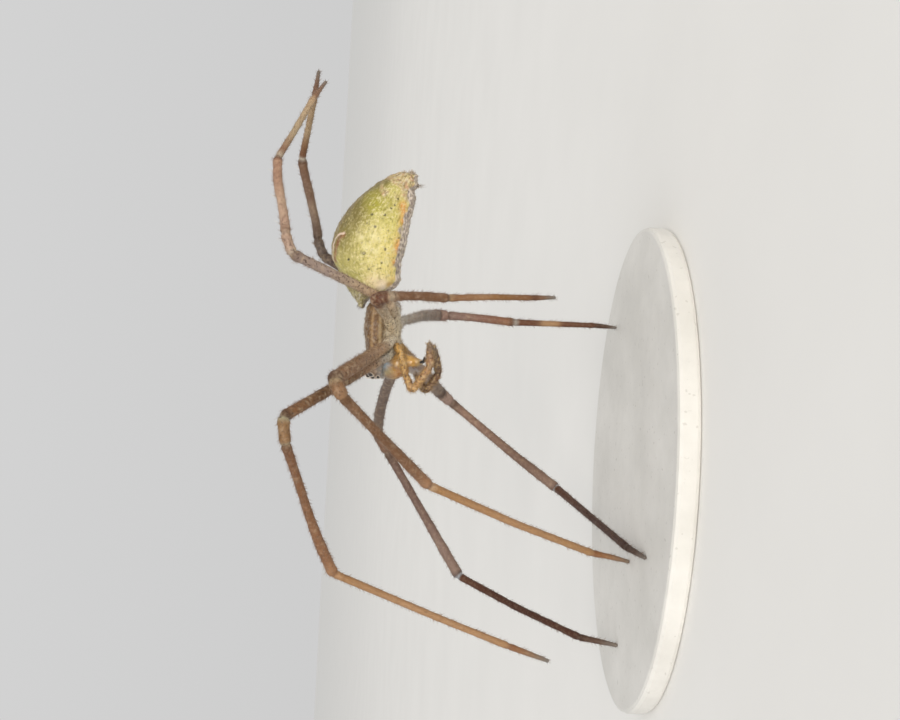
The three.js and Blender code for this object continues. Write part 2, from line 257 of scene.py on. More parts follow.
def closed_skin(name, grid, tone, flecks, material, replaced, flow=None):
    """A closed skin over a grid of rings, with its tone and the strength of its flecks. flow, where the
    material follows one, is a place along and round the piece."""
    rings, sides = grid.shape[:2]
    points = np.concatenate([grid.reshape(-1, 3), grid[0].mean(0)[None], grid[-1].mean(0)[None]])
    quads, fans = ring_faces(rings, sides)
    middle = points.mean(0)
    triangles = np.concatenate([fans, quads[:, [0, 1, 2]], quads[:, [0, 2, 3]]])
    a, b, c = (points[triangles[:, i]] - middle for i in range(3))
    if (a * np.cross(b, c)).sum() < 0:
        quads, fans = quads[:, ::-1], fans[:, ::-1]
    layers = {"tone": with_flecks(tone, flecks)}
    if flow is not None:
        layers["flow"] = flow
    for layer, values in layers.items():
        ends = [values[0].mean(0)[None], values[-1].mean(0)[None]]
        layers[layer] = np.concatenate([values.reshape(-1, values.shape[-1])] + ends)
    return new_piece(name, points, [quads, fans], material, layers, replaced)


# Materials

def node(tree, kind, links=(), **settings):
    """Adds a node, sets its properties or its sockets' values by name, and links sockets into it."""
    new = tree.nodes.new(kind)
    for key, value in settings.items():
        if hasattr(new, key):
            setattr(new, key, value)
        else:
            new.inputs[key.replace("_", " ")].default_value = value
    for socket, source in links:
        tree.links.new(source, new.inputs[socket])
    return new


def noise(tree, scale, detail, roughness=0.5, place=None):
    """A noise pattern with its scale in cells to the metre, lying on the piece unless a place is given."""
    place = place or node(tree, "ShaderNodeTexCoord").outputs["Object"]
    settings = {"Scale": scale, "Detail": detail, "Roughness": roughness}
    return node(tree, "ShaderNodeTexNoise", [("Vector", place)], **settings).outputs["Fac"]


def ramp(tree, source, places):
    """A colour ramp between two stops, grey or coloured, given as (place, number or hex)."""
    new = node(tree, "ShaderNodeValToRGB", [("Fac", source)])
    elements = new.color_ramp.elements
    for element, (place, value) in zip(elements, places):
        element.position = place
        element.color = (*linear(value), 1) if isinstance(value, str) else (value, value, value, 1)
    return new.outputs["Color"]


def combined(tree, operation, first, second):
    """Two values multiplied or added."""
    return node(tree, "ShaderNodeMath", [(0, first), (1, second)], operation=operation).outputs[0]


def mixed(tree, share, below, above, blend="MIX"):
    """One colour over another by a share: below is a socket, and the others are sockets or fixed values."""
    new = node(tree, "ShaderNodeMix", data_type="RGBA", blend_type=blend)
    colours = [socket for socket in new.inputs if socket.type == "RGBA"]
    for socket, value in zip([new.inputs[0]] + colours, (share, below, above)):
        if isinstance(value, bpy.types.NodeSocket):
            tree.links.new(value, socket)
        else:
            socket.default_value = value
    return [socket for socket in new.outputs if socket.type == "RGBA"][0]


def start_material(name, **settings):
    """A material, its tree and its shader with the values given."""
    material = bpy.data.materials.new(name)
    material.use_nodes = True
    tree = material.node_tree
    shader = tree.nodes["Principled BSDF"]
    for key, value in settings.items():
        shader.inputs[key.replace("_", " ")].default_value = value
    return material, tree, shader


def read_tone(tree):
    """A piece's own tone, with its flecks' strength as alpha."""
    return node(tree, "ShaderNodeAttribute", attribute_name="tone").outputs


def surface(tree, shader, colour, gloss=None, height=None, strength=0.5, relief=0.0):
    """Links a colour, a roughness and a bump of a relief in mm into a shader."""
    tree.links.new(colour, shader.inputs["Base Color"])
    if gloss is not None:
        tree.links.new(gloss, shader.inputs["Roughness"])
    if height is not None:
        bump = node(tree, "ShaderNodeBump", [("Height", height)], Strength=strength, Distance=relief * MM)
        tree.links.new(bump.outputs["Normal"], shader.inputs["Normal"])


def cuticle(name, fleck, fleck_size, light, roughness, relief, **settings):
    """Chitin cuticle, grown in plates and thinly haired: tone from the piece, dark flecks, a pale bloom in
    clouds 2.6 times as large, and a fine pebbled relief. Sizes are in mm."""
    material, tree, shader = start_material(name, **settings)
    tone = read_tone(tree)
    flecks = ramp(tree, noise(tree, 1000 / fleck_size, 3.0, 0.6), [(0.57, 0.0), (0.62, 1.0)])
    bloom = ramp(tree, noise(tree, 1000 / (fleck_size * 2.6), 4.0, 0.7), [(0.52, 0.0), (0.64, 0.45)])
    colour = tone["Color"]
    for mask, value in ((flecks, fleck), (bloom, light)):
        colour = mixed(tree, combined(tree, "MULTIPLY", mask, tone["Alpha"]), colour, (*pigment(value), 1))
    grain = noise(tree, 1000 / (fleck_size * 0.55), 2.0)
    gloss = ramp(tree, grain, [(0.3, roughness - 0.12), (0.7, roughness + 0.12)])
    surface(tree, shader, colour, gloss, grain, 0.55, relief)
    return material


def streaked_cuticle(name, **settings):
    """Soft abdomen cuticle, stretched and thin: tone from the piece, fine streaks along it that are paler or
    greener, pale and dark specks, and a faint wrinkled relief that follows the streaks."""
    material, tree, shader = start_material(name, **settings)
    tone = read_tone(tree)
    flow = node(tree, "ShaderNodeAttribute", attribute_name="flow").outputs["Vector"]
    threads = noise(tree, 13.0, 3.0, 0.65, flow)
    specks = noise(tree, 6400.0, 2.0)
    colour = tone["Color"]
    for pattern, places, value in (
        (threads, [(0.52, 0.0), (0.64, 0.5)], "#f2e6a4"),
        (threads, [(0.34, 0.5), (0.47, 0.0)], "#8c8636"),
        (specks, [(0.56, 0.0), (0.63, 0.6)], "#efe3b4"),
        (specks, [(0.33, 0.45), (0.39, 0.0)], "#6b6234"),
    ):
        share = combined(tree, "MULTIPLY", ramp(tree, pattern, places), tone["Alpha"])
        colour = mixed(tree, share, colour, (*pigment(value), 1))
    gloss = ramp(tree, specks, [(0.3, 0.38), (0.7, 0.6)])
    surface(tree, shader, colour, gloss, combined(tree, "ADD", threads, specks), 0.5, 0.03)
    return material


def lens_cuticle(name):
    """Clear lens cuticle over a dark cup: mirror smooth where the tone is dark, matt on the pale rim."""
    material, tree, shader = start_material(name, IOR=1.45, Coat_Weight=0.6, Coat_Roughness=0.03)
    tone = read_tone(tree)["Color"]
    level = node(tree, "ShaderNodeRGBToBW", [("Color", tone)]).outputs[0]
    surface(tree, shader, tone, ramp(tree, level, [(0.02, 0.06), (0.2, 0.5)]))
    return material


def bristle_cuticle(name):
    """Bristles, drawn-out cuticle with a soft shine, in the tone that each piece of them carries."""
    material, tree, shader = start_material(name, IOR=1.55, Roughness=0.45)
    shade = ramp(tree, noise(tree, 3000.0, 1.0), [(0.3, 0.75), (0.7, 1.0)])
    surface(tree, shader, mixed(tree, 1.0, read_tone(tree)["Color"], shade, "MULTIPLY"))
    return material


def cast_resin(name):
    """Cast resin, filled and rubbed to satin: a pale warm grey, faintly clouded, with pinholes and an even
    sheen."""
    material, tree, shader = start_material(name, IOR=1.5)
    cloud = noise(tree, 180.0, 5.0, 0.6)
    holes = noise(tree, 2600.0, 1.0)
    body = ramp(tree, cloud, [(0.3, "#cfcdc7"), (0.7, "#e2e0db")])
    colour = mixed(tree, ramp(tree, holes, [(0.69, 0.0), (0.74, 0.35)]), body, (*linear("#a9a59c"), 1))
    surface(tree, shader, colour, ramp(tree, cloud, [(0.3, 0.5), (0.7, 0.64)]), holes, 0.2, 0.02)
    return material


def matt_paper(name):
    """Matt paper, rolled and uncoated: nearly white, faintly clouded, with no sheen at all."""
    material, tree, shader = start_material(name, Roughness=0.9, Specular_IOR_Level=0.0)
    surface(tree, shader, ramp(tree, noise(tree, 60.0, 4.0), [(0.3, "#ecebe8"), (0.7, "#efeeeb")]))
    return material


LEG_SKIN = cuticle("chitin_leg", "#4b3426", 0.16, "#dcc4a2", 0.54, 0.03, IOR=1.55, Specular_IOR_Level=0.32)
HEAD_SKIN = cuticle("chitin_head", "#5a4630", 0.2, "#e2dac6", 0.5, 0.04, IOR=1.55)
ABDOMEN_SKIN = streaked_cuticle("chitin_abdomen", IOR=1.5)
JAW_SKIN = cuticle("chitin_jaw", "#8a5a22", 0.22, "#e8cf90", 0.34, 0.02, IOR=1.56)
FANG_SKIN = cuticle("chitin_fang", "#070504", 0.2, "#2a1a12", 0.22, 0.008, IOR=1.58)
LENS = lens_cuticle("lens_cuticle")
BRISTLE = bristle_cuticle("bristle_cuticle")
RESIN = cast_resin("cast_resin")
PAPER = matt_paper("matt_paper")


# The body's frame

LEAN = math.radians(15)
BODY_PLACE = np.array([-4.19, 0.80, 19.27])


def from_body(points):
    """A body point in the frame of the whole: turned about the lengthwise axis by the lean, then moved."""
    x, y, z = np.moveaxis(np.asarray(points, float), -1, 0)
    c, s = math.cos(LEAN), math.sin(LEAN)
    return np.stack([x, y * c - z * s, y * s + z * c], -1) + BODY_PLACE


def mirrored(point):
    return np.array([point[0], -point[1], point[2]])


def on_skin(grid, normals, pixel):
    """The point of a skin in the body's frame that the camera sees nearest to a pixel of the photograph."""
    hidden = (from_body(normals) - BODY_PLACE) @ AHEAD >= -0.05
    gap = np.linalg.norm(pixels(from_body(grid)) - np.array(pixel), axis=-1)
    return grid.reshape(-1, 3)[np.where(hidden, np.inf, gap).argmin()]


def spot(grid, centre, reach):
    """A soft round spot on both sides of the body, by distance to its centre or that centre's mirror
    image."""
    left = np.linalg.norm(grid - centre, axis=-1)
    right = np.linalg.norm(grid - mirrored(centre), axis=-1)
    return np.exp(-((np.minimum(left, right) / reach) ** 2))


def firm(soft):
    """A soft spot given a firm edge."""
    return step(soft, 0.3, 0.55)


def stroke(grid, points, reach, count=60):
    """A soft line through points, on both sides of the body."""
    rows = np.array(points, float)
    line = through(rows, count, 2 * rows[0] - rows[1], 2 * rows[-1] - rows[-2])
    flat = grid.reshape(-1, 3)
    nearest = np.full(len(flat), np.inf)
    for point in np.concatenate([line, line * [1, -1, 1]]):
        nearest = np.minimum(nearest, ((flat - point) ** 2).sum(1))
    return np.exp(-nearest / reach**2).reshape(grid.shape[:2])


# The abdomen

# How high a section's widest line lies between its low and its top
SIDE_LINE = 0.42
# ahead, half width, top, low
ABDOMEN = np.array([
    [-1.66, 0.0, 1.78, 1.78],
    [-1.72, 0.3, 1.89, 1.66],
    [-1.98, 0.66, 2.05, 1.54],
    [-2.35, 1.02, 2.38, 1.17],
    [-2.9, 1.36, 2.79, -0.13],
    [-3.45, 1.58, 3.11, -0.59],
    [-4.1, 1.76, 3.49, -0.69],
    [-4.9, 1.9, 3.94, -0.73],
    [-5.9, 1.96, 4.01, -0.97],
    [-6.9, 1.93, 3.75, -1.1],
    [-7.6, 1.85, 3.41, -1.21],
    [-8.3, 1.72, 2.93, -1.35],
    [-9.0, 1.53, 2.31, -1.43],
    [-9.6, 1.32, 1.63, -1.4],
    [-10.1, 1.08, 0.99, -1.49],
    [-10.45, 0.84, 0.34, -1.52],
    [-10.66, 0.62, -0.12, -1.48],
    [-10.74, 0.0, -0.82, -0.82],
])


def ellipse_rings(stations, turns):
    """Rings of a body: half an ellipse over the side line and half an ellipse under it."""
    ahead, wide, top, low = (stations[:, i, None] for i in range(4))
    line = low + (top - low) * SIDE_LINE
    reach = np.where(np.sin(turns) > 0, top - line, line - low)
    return np.stack([ahead + 0 * turns, wide * np.cos(turns), line + reach * np.sin(turns)], -1)


def past_pole(row):
    """The station past a pole, which is the one before it turned over, so that the skin closes roundly."""
    ahead, wide, top, low = row
    return np.array([ahead, -wide, low, top])


def swollen(grid, lumps):
    """A skin with low round lumps and pits: each moves it along its normal by a height times a soft hill."""
    for centre, reach, height in lumps:
        grid = grid + skin_normals(grid) * (height * spot(grid, np.array(centre, float), reach))[..., None]
    return grid


# Low lumps and pits: centre, reach, height
ABDOMEN_LUMPS = [
    ((-3.55, 0.4, -0.6), 0.4, 0.1),
    ((-3.1, 0.6, -0.3), 0.24, -0.06),
    ((-9.5, 0.25, -1.42), 0.18, -0.16),
    ((-9.98, 0.3, -1.46), 0.26, 0.16),
    ((-9.1, 0.3, -1.44), 0.26, 0.1),
    ((-10.5, 0.35, 0.2), 0.22, 0.1),
    ((-10.6, 0.3, -0.4), 0.2, 0.08),
    ((-1.75, 0.2, 1.85), 0.2, 0.06),
]
ABDOMEN_RINGS, ABDOMEN_SIDES = 250, 220
# Marks placed by the photograph's pixels, across and down: pale flecks of the flank, orange blotches with
# their reach, patches with reach, share and colour, and dark dots with their reach in hundredths of a mm
FLANK_FLECKS = ((372, 236), (379, 239), (366, 248), (376, 252), (386, 262), (362, 238))
BLOTCHES = ((403, 206, 0.28), (404.5, 213, 0.3), (403, 221, 0.26), (399, 243, 0.32), (397.5, 250, 0.3),
            (394, 262, 0.18))
PATCHES = (
    (374, 281, 0.5, 0.85, "#f6e0b4"), (382, 283, 0.44, 0.9, "#fbe6c6"), (383, 288, 0.26, 0.9, "#f2e4d2"),
    (378, 289, 0.2, 0.7, "#e3cdb2"), (389, 284, 0.26, 0.8, "#e0ae66"), (393, 278, 0.2, 0.7, "#e2bc78"),
    (368, 281, 0.22, 0.6, "#e2c88e"), (386, 277, 0.2, 0.6, "#ecd698"),
)
DOTS = (
    (372, 214, 11), (385, 215, 10), (391, 208, 8), (375.7, 227, 10), (367.5, 223, 8), (385.6, 249, 10),
    (363.6, 253.5, 12), (348.6, 260, 10), (382, 263, 8), (369, 269, 7), (357, 231, 7), (380, 268, 6),
    (398, 199, 8), (395, 205, 8), (347, 222, 6), (399, 238, 7), (362, 243, 7), (388, 230, 6),
)
# The hump's mark, a pale crescent with red-brown inside it
CRESCENT = ((344, 233), (338, 236), (334, 243), (333, 250), (334, 262))
CRESCENT_INSIDE = ((343, 235.5), (338.5, 241), (336, 249), (335.5, 260))


def abdomen():
    turns = around(ABDOMEN_SIDES) - math.pi / 2
    ends = past_pole(ABDOMEN[1]), past_pole(ABDOMEN[-2])
    stations = through(ABDOMEN, ABDOMEN_RINGS + 2, *ends)[1:-1]
    grid = swollen(ellipse_rings(stations, turns), ABDOMEN_LUMPS)
    grid += skin_normals(grid) * (0.018 * ripple(grid, 0.5, 3))[..., None]
    normals = skin_normals(grid)
    ahead = grid[..., 0]
    height = np.degrees(np.arctan2(np.sin(turns), np.abs(np.cos(turns))))[None] + 0 * ahead
    wander = ripple(grid, 0.9, 4)
    cloud = ripple(grid, 0.22, 10)
    rear = step(-ahead + 0.3 * wander - 0.012 * height, 9.1, 10.1)
    band = step(-height + 4 * wander, 60, 65)

    def dab(across, down, reach):
        return spot(grid, on_skin(grid, normals, (across, down)), reach)

    def line(places, reach):
        return stroke(grid, [on_skin(grid, normals, place) for place in places], reach)

    # In turn: flank, a painted pool of light on the flank's middle, the back darkened by painted shade,
    # patches of the flank, the front end, the rear end mottled cream, brown and pink, orange blotches along
    # the edge of the belly's pale grey band, that band, and the marks
    tone = layered(plain(grid, "#d6ca78"), [
        (0.6 * step(wander, 0.0, 1.6), "#dfd290"),
        (0.5 * step(-wander, 0.2, 1.6), "#b9ae58"),
        # Painted light: a brighter yellow pool on the lower flank's middle, where it faces the light
        (0.8 * near(height, -42, 30) * near(ahead, -5.0, 2.6), "#fbea94"),
        # Painted shade: the upper side darkens, olive-brown towards the top and the rear, darkest at the
        # dorsal edge
        (0.85 * step(height, 2, 38) * step(-ahead, 3.7, 6.2), "#7c7034"),
        (0.8 * step(height, -4, 26) * step(-ahead, 6.0, 7.8), "#7c6d34"),
        (0.85 * step(height, 40, 70) * step(-ahead, 4.2, 6.4), "#786236"),
        (0.6 * step(height, 50, 80), "#8b7748"),
        # Painted shade too: duller green above the side line at the front
        (0.6 * step(height, -8, 30) * step(ahead, -6.0, -3.6), "#a29a50"),
        (0.9 * dab(378, 204, 0.85), "#b0aa28"),
        (0.6 * dab(372, 196, 0.6), "#aaa248"),
        (0.5 * dab(396, 226, 0.8), "#d3cc66"),
        (0.5 * dab(388, 203, 0.7), "#aca04c"),
        (0.6 * near(height, -54, 9) * step(-ahead, 3.4, 4.4), "#f4d680"),
        *((0.7 * dab(*place, 0.22), "#f2e8ac") for place in FLANK_FLECKS),
        (step(ahead, -3.5, -2.5) * 0.75, "#9c8c6c"),
        (0.7 * step(ahead, -3.2, -2.3) * step(cloud, 0.4, 1.2), "#6b5a52"),
        (0.7 * step(ahead, -3.0, -2.2) * step(-cloud, 0.6, 1.4), "#d9cfc2"),
        (rear, "#c8b080"),
        (0.8 * rear * step(ripple(grid, 0.34, 5), 0.5, 1.2), "#d8a488"),
        (0.8 * rear * step(ripple(grid, 0.26, 6), 0.55, 1.2), "#8a7250"),
        (0.8 * rear * step(ripple(grid, 0.24, 7), 0.6, 1.2), "#e0cfb2"),
        *((0.85 * dab(*row), "#f09c48") for row in BLOTCHES),
        (band, "#b5a79b"),
        (0.8 * band * step(ripple(grid, 0.24, 8), 0.4, 1.0), "#77676b"),
        (0.9 * band * step(ripple(grid, 0.26, 9), 0.2, 0.9), "#efe0d2"),
        *((share * dab(across, down, reach), colour) for across, down, reach, share, colour in PATCHES),
        (0.85 * line(CRESCENT_INSIDE, 0.17), "#8a4629"),
        (0.95 * step(line(CRESCENT, 0.09), 0.25, 0.6), "#ecd0bc"),
        *((0.9 * firm(dab(across, down, size / 100)), "#37351f") for across, down, size in DOTS),
    ])
    # The flecks fade on the belly's band, and over the upper flank so that pale specks don't lift its
    # painted shade
    flecks = (1 - 0.8 * band) * (1 - 0.6 * step(height, 5, 38) * step(-ahead, 3.4, 4.6))
    for place in ((381, 285), (389, 283)):
        flecks = flecks * (1 - 0.8 * firm(dab(*place, 0.4)))
    # Streaks run along the piece, by a point's place out of the middle of its ring and a slow step ahead
    out = unit(grid - grid.mean(1, keepdims=True))
    flow = np.stack([ahead * 0.16, out[..., 1], out[..., 2]], -1)
    closed_skin("abdomen_skin", from_body(grid), tone, flecks, ABDOMEN_SKIN, ["abdomen"], flow)
    return grid, tone


# The head part: carapace, underside and breast plate in one skin

# ahead, half width, top, margin, half width of the underside, floor
HEAD = np.array([
    [-2.16, 0.0, 0.5, 0.4, 0.0, 0.3],
    [-2.12, 0.6, 0.92, 0.12, 0.35, -0.2],
    [-1.96, 1.0, 1.18, 0.03, 0.5, -0.5],
    [-1.6, 1.34, 1.36, 0.0, 0.72, -0.78],
    [-0.6, 1.62, 1.42, 0.0, 0.84, -0.92],
    [0.4, 1.56, 1.33, 0.0, 0.84, -0.92],
    [1.2, 1.34, 1.26, 0.0, 0.74, -0.82],
    [2.0, 1.14, 1.28, -0.02, 0.62, -0.5],
    [2.5, 1.02, 1.2, -0.04, 0.56, -0.3],
    [2.8, 0.84, 1.02, -0.02, 0.48, -0.2],
    [2.92, 0.52, 0.8, 0.12, 0.3, 0.0],
    [2.96, 0.0, 0.48, 0.42, 0.0, 0.38],
])
HEAD_RINGS, HEAD_SIDES = 190, 200


def head_rings(stations):
    """Rings of the head part: half an ellipse for the carapace, and under its margin a narrower underside,
    given by a closed curve through a few points that are shares of each station's measures."""
    wide, top, margin, under, floor = (stations[:, i] for i in range(1, 6))
    line = margin + (top - margin) * SIDE_LINE
    arc = np.radians([0, 22, 45, 68, 90])
    upper = [(wide * math.cos(t), line + (top - line) * math.sin(t)) for t in arc]
    drop = margin - floor
    lower = [
        (wide * 0.97, margin + (line - margin) * 0.45),
        (wide * 0.86, margin + 0.02),
        (under + (wide - under) * 0.3, margin - drop * 0.1),
        (under, margin - drop * 0.32),
        (under * 0.92, margin - drop * 0.68),
        (under * 0.62, margin - drop * 0.93),
        (0 * under, floor),
    ]
    left = lower[::-1] + upper
    half = [np.stack(pair, -1) for pair in left]
    other = [np.stack([-pair[0], pair[1]], -1) for pair in left[1:-1][::-1]]
    rows = ring_through(np.stack(half + other), HEAD_SIDES)
    ring = np.moveaxis(rows, 0, 1)
    ahead = np.broadcast_to(stations[:, :1, None], ring.shape[:2] + (1,))
    return np.concatenate([ahead, ring], -1)


def head_pole(row):
    """The station past a pole of the head part, turned over as the abdomen's is."""
    ahead, wide, top, margin, under, floor = row
    middle = (top + floor) / 2
    return np.array([ahead, -wide, 2 * middle - top, 2 * middle - margin, -under, 2 * middle - floor])


HEAD_LUMPS = [
    ((-0.6, 0.0, 1.42), 0.28, -0.1),
    ((-0.1, 0.5, 1.32), 0.32, 0.05),
    ((0.95, 0.9, 1.0), 0.36, -0.07),
    ((2.68, 0.75, 0.75), 0.3, 0.1),
    ((2.78, 0.4, 0.95), 0.26, 0.07),
    ((2.82, 0.7, 0.15), 0.22, 0.1),
    ((-1.1, 0.9, 1.1), 0.28, -0.05),
    ((0.3, 1.05, 0.9), 0.26, -0.05),
]


def head_stations(count):
    """The head part's stations, with the two poles at the ends."""
    return through(HEAD, count, head_pole(HEAD[1]), head_pole(HEAD[-2]))


def head():
    grid = swollen(head_rings(head_stations(HEAD_RINGS + 2)[1:-1]), HEAD_LUMPS)
    grid += skin_normals(grid) * (0.016 * ripple(grid, 0.35, 11))[..., None]
    x, y, z = (grid[..., i] for i in range(3))
    wide = np.abs(y)
    cloud = ripple(grid, 0.3, 12)
    under = step(-z, -0.02, 0.2)
    face = step(x, 1.9, 2.5)
    # In turn: the carapace's middle line and stripes, the underside, and the face, with a painted sheen low
    # at the front
    tone = layered(plain(grid, "#6f4d24"), [
        (0.8 * near(wide, 0.0, 0.14), "#b5967a"),
        (0.7 * near(wide, 0.45, 0.2) * step(z, 0.9, 1.1), "#6f5833"),
        (0.85 * near(z, 0.9, 0.13) * step(wide, 0.6, 0.9), "#644420"),
        (0.8 * near(z, 0.62, 0.1) * step(wide, 0.6, 0.9), "#ac8a5e"),
        (0.85 * near(z, 0.38, 0.1) * step(wide, 0.6, 0.9), "#6e4a24"),
        (0.8 * near(z, 0.1, 0.12) * step(wide, 0.7, 1.0), "#c8b088"),
        (under, "#d6c5a4"),
        (under * step(cloud, 0.5, 1.2) * 0.7, "#8a7764"),
        (under * step(-cloud, 0.4, 1.2) * 0.8, "#e0d6c0"),
        (0.4 * step(cloud, 0.6, 1.4) * (1 - under), "#b59462"),
        (0.7 * face, "#8a6e58"),
        # Painted sheen: blue-grey low at the front, standing in for light reflected off the cuticle
        (0.7 * step(x, 1.3, 1.9) * step(-z, -0.5, 0.1), "#9ea3a4"),
        (0.6 * face * step(cloud, 0.2, 1.2), "#cbb095"),
    ])
    closed_skin("head_skin", from_body(grid), tone, 0.3 + 0.5 * under, HEAD_SKIN,
                ["carapace", "sternum"])
    return grid, tone


# Tubes: legs, palps, waist, spinnerets and fangs all run along a path of joints

Path = namedtuple("Path", "centres ways arms distance mark starts")


def path_along(joints, spacing, bend):
    """Points along a chain of joints: straight, and round each joint a curve of the second degree that
    leaves the joint's two pieces at the bend's distance. Beside its centres a path has the way ahead, one
    arm across, the distance along, a mark, which is the piece's number plus the share along it, and the
    distances of the joints."""
    joints = np.asarray(joints, float)
    steps = np.diff(joints, axis=0)
    lengths = np.linalg.norm(steps, axis=1)
    ways = steps / lengths[:, None]
    starts = np.concatenate([[0], np.cumsum(lengths)])
    helper = np.array([1.0, 0, 0]) if abs(ways[0, 2]) > 0.9 else np.array([0, 0, 1.0])
    arm = unit(np.cross(helper, ways[0]))
    cuts = [min(bend, 0.34 * lengths[i], 0.34 * lengths[i + 1]) for i in range(len(ways) - 1)]
    cuts = [0.0, *cuts, 0.0]
    parts = []
    for k, way in enumerate(ways):
        count = max(int((lengths[k] - cuts[k] - cuts[k + 1]) / spacing), 2)
        run = np.linspace(cuts[k], lengths[k] - cuts[k + 1], count)
        centres = joints[k] + run[:, None] * way
        along = starts[k] + run, k + run / lengths[k]
        parts.append((centres, np.tile(way, (count, 1)), np.tile(arm, (count, 1)), *along))
        if k + 1 == len(ways):
            break
        after, cut = ways[k + 1], cuts[k + 1]
        t = np.linspace(0, 1, 9)[1:-1, None]
        a, b = joints[k + 1] - way * cut, joints[k + 1] + after * cut
        centres = (1 - t) ** 2 * a + 2 * t * (1 - t) * joints[k + 1] + t**2 * b
        heads = unit((1 - t) * way + t * after)
        arms = arm - (way + heads) * (heads @ arm)[:, None] / (1 + heads @ way)[:, None]
        offset = (2 * t[:, 0] - 1) * cut
        share = np.where(offset < 0, k + 1 + offset / lengths[k], k + 1 + offset / lengths[k + 1])
        parts.append((centres, heads, arms, starts[k + 1] + offset, share))
        arm = arm - (way + after) * (after @ arm) / (1 + after @ way)
    return Path(*(np.concatenate(rows) for rows in zip(*parts)), starts)


# Where the rings of a round end stand, as angles from the path's end to the pole
END_RINGS = np.radians([20, 42, 64, 80])


def stretched(values):
    """Values along a path carried over its round ends."""
    return np.concatenate([[values[0]] * len(END_RINGS), values, [values[-1]] * len(END_RINGS)])


def tube(path, radii, sides, root, tip):
    """Rings round a path, each a circle in the plane across it, with round ends of radius root and tip."""
    before = path.centres[0] - root * np.sin(END_RINGS)[:, None] * path.ways[0]
    after = path.centres[-1] + tip * np.sin(END_RINGS)[:, None] * path.ways[-1]
    centres = np.concatenate([before[::-1], path.centres, after])
    radii = np.concatenate([root * np.cos(END_RINGS)[::-1], radii, tip * np.cos(END_RINGS)])
    ways, arms = stretched(path.ways), stretched(path.arms)
    turns = around(sides)[:, None]
    out = np.cos(turns) * arms[:, None] + np.sin(turns) * np.cross(ways, arms)[:, None]
    return centres[:, None] + radii[:, None, None] * out


# Bristles

ROOT_DEPTH = 0.02
# On OFBake: the margin round the whole, and half the size of a bristle's patch
MARGIN, PATCH = 0.004, 0.0015


def bristles(name, skins, count, length, lean, thick, paler):
    """A coat of short straight bristles on skins given as (grid, tone), each bristle a slim spike of three
    sides. Roots fall evenly on a skin by the area of its cells, and a bristle leans from the skin's normal
    towards the piece's end, in the root's tone made paler. On OFBake every bristle is a small patch where
    its root lies on the skin's own unwrap, one strip for each skin."""
    all_points, all_tones, all_uvs = [], [], []
    for strip, (grid, tone) in enumerate(skins):
        normals = skin_normals(grid)
        ahead = np.gradient(grid, axis=0)
        along = unit(ahead)
        rings, sides = grid.shape[:2]
        cell = np.linalg.norm(np.cross(np.roll(grid, -1, 1) - grid, ahead), axis=-1)[:-1]
        pick = chance.choice(cell.size, count, p=(cell / cell.sum()).ravel())
        i, j = np.divmod(pick, sides)
        f, g = chance.random((2, count, 1))
        k = (j + 1) % sides
        near_side, far_side = (grid[i, side] * (1 - f) + grid[i + 1, side] * f for side in (j, k))
        root = near_side * (1 - g) + far_side * g
        normal, forward = normals[i, j], along[i, j]
        side = np.cross(normal, forward)
        tilt = lean * chance.uniform(0.7, 1.3, (count, 1))
        yaw = chance.normal(0, 0.35, (count, 1))
        way = unit(normal * np.cos(tilt) + np.sin(tilt) * (forward * np.cos(yaw) + side * np.sin(yaw)))
        size = length * chance.uniform(0.55, 1.25, (count, 1))
        arm = unit(np.cross(way, normal + 0.3 * side))
        other = np.cross(way, arm)
        foot = root - normal * ROOT_DEPTH
        ring = [foot + thick * (math.cos(t) * arm + math.sin(t) * other) for t in around(3)]
        all_points.append(np.stack(ring + [root + way * size], 1).reshape(-1, 3))
        colour = painted(tone[i, j], chance.uniform(0.25, 0.85, count), paler)
        all_tones.append(np.repeat(with_flecks(colour, 1.0), 4, axis=0))
        uv = [(i[:, None] + f) / (rings - 1), (strip + (j[:, None] + g) / sides) / len(skins)]
        uv = MARGIN + (1 - 2 * MARGIN) * np.concatenate(uv, 1)
        patch = np.array([[-1, -1], [1, -1], [0, 1], [0, 0]]) * PATCH
        all_uvs.append((uv[:, None] + patch).reshape(-1, 2))
    points = np.concatenate(all_points)
    base = np.arange(len(points) // 4)[:, None] * 4
    faces = np.concatenate([base + np.array(face) for face in ((0, 1, 3), (1, 2, 3), (2, 0, 3), (2, 1, 0))])
    layers = {"tone": np.concatenate(all_tones), "OFBake": np.clip(np.concatenate(all_uvs), 0, 1)}
    return new_piece(name, points, [faces], BRISTLE, layers, smooth=False)


# Legs

# Where legs leave the body, how deep in it they start, a coxa's length and radii, and how high a standing
# tip ends
ROOT = {"out": 0.86, "down": 0.5, "deep": 0.3}
COXA = 1.2
COXA_RADII = [0.34, 0.36, 0.32]
STAND_TOP = 1.62
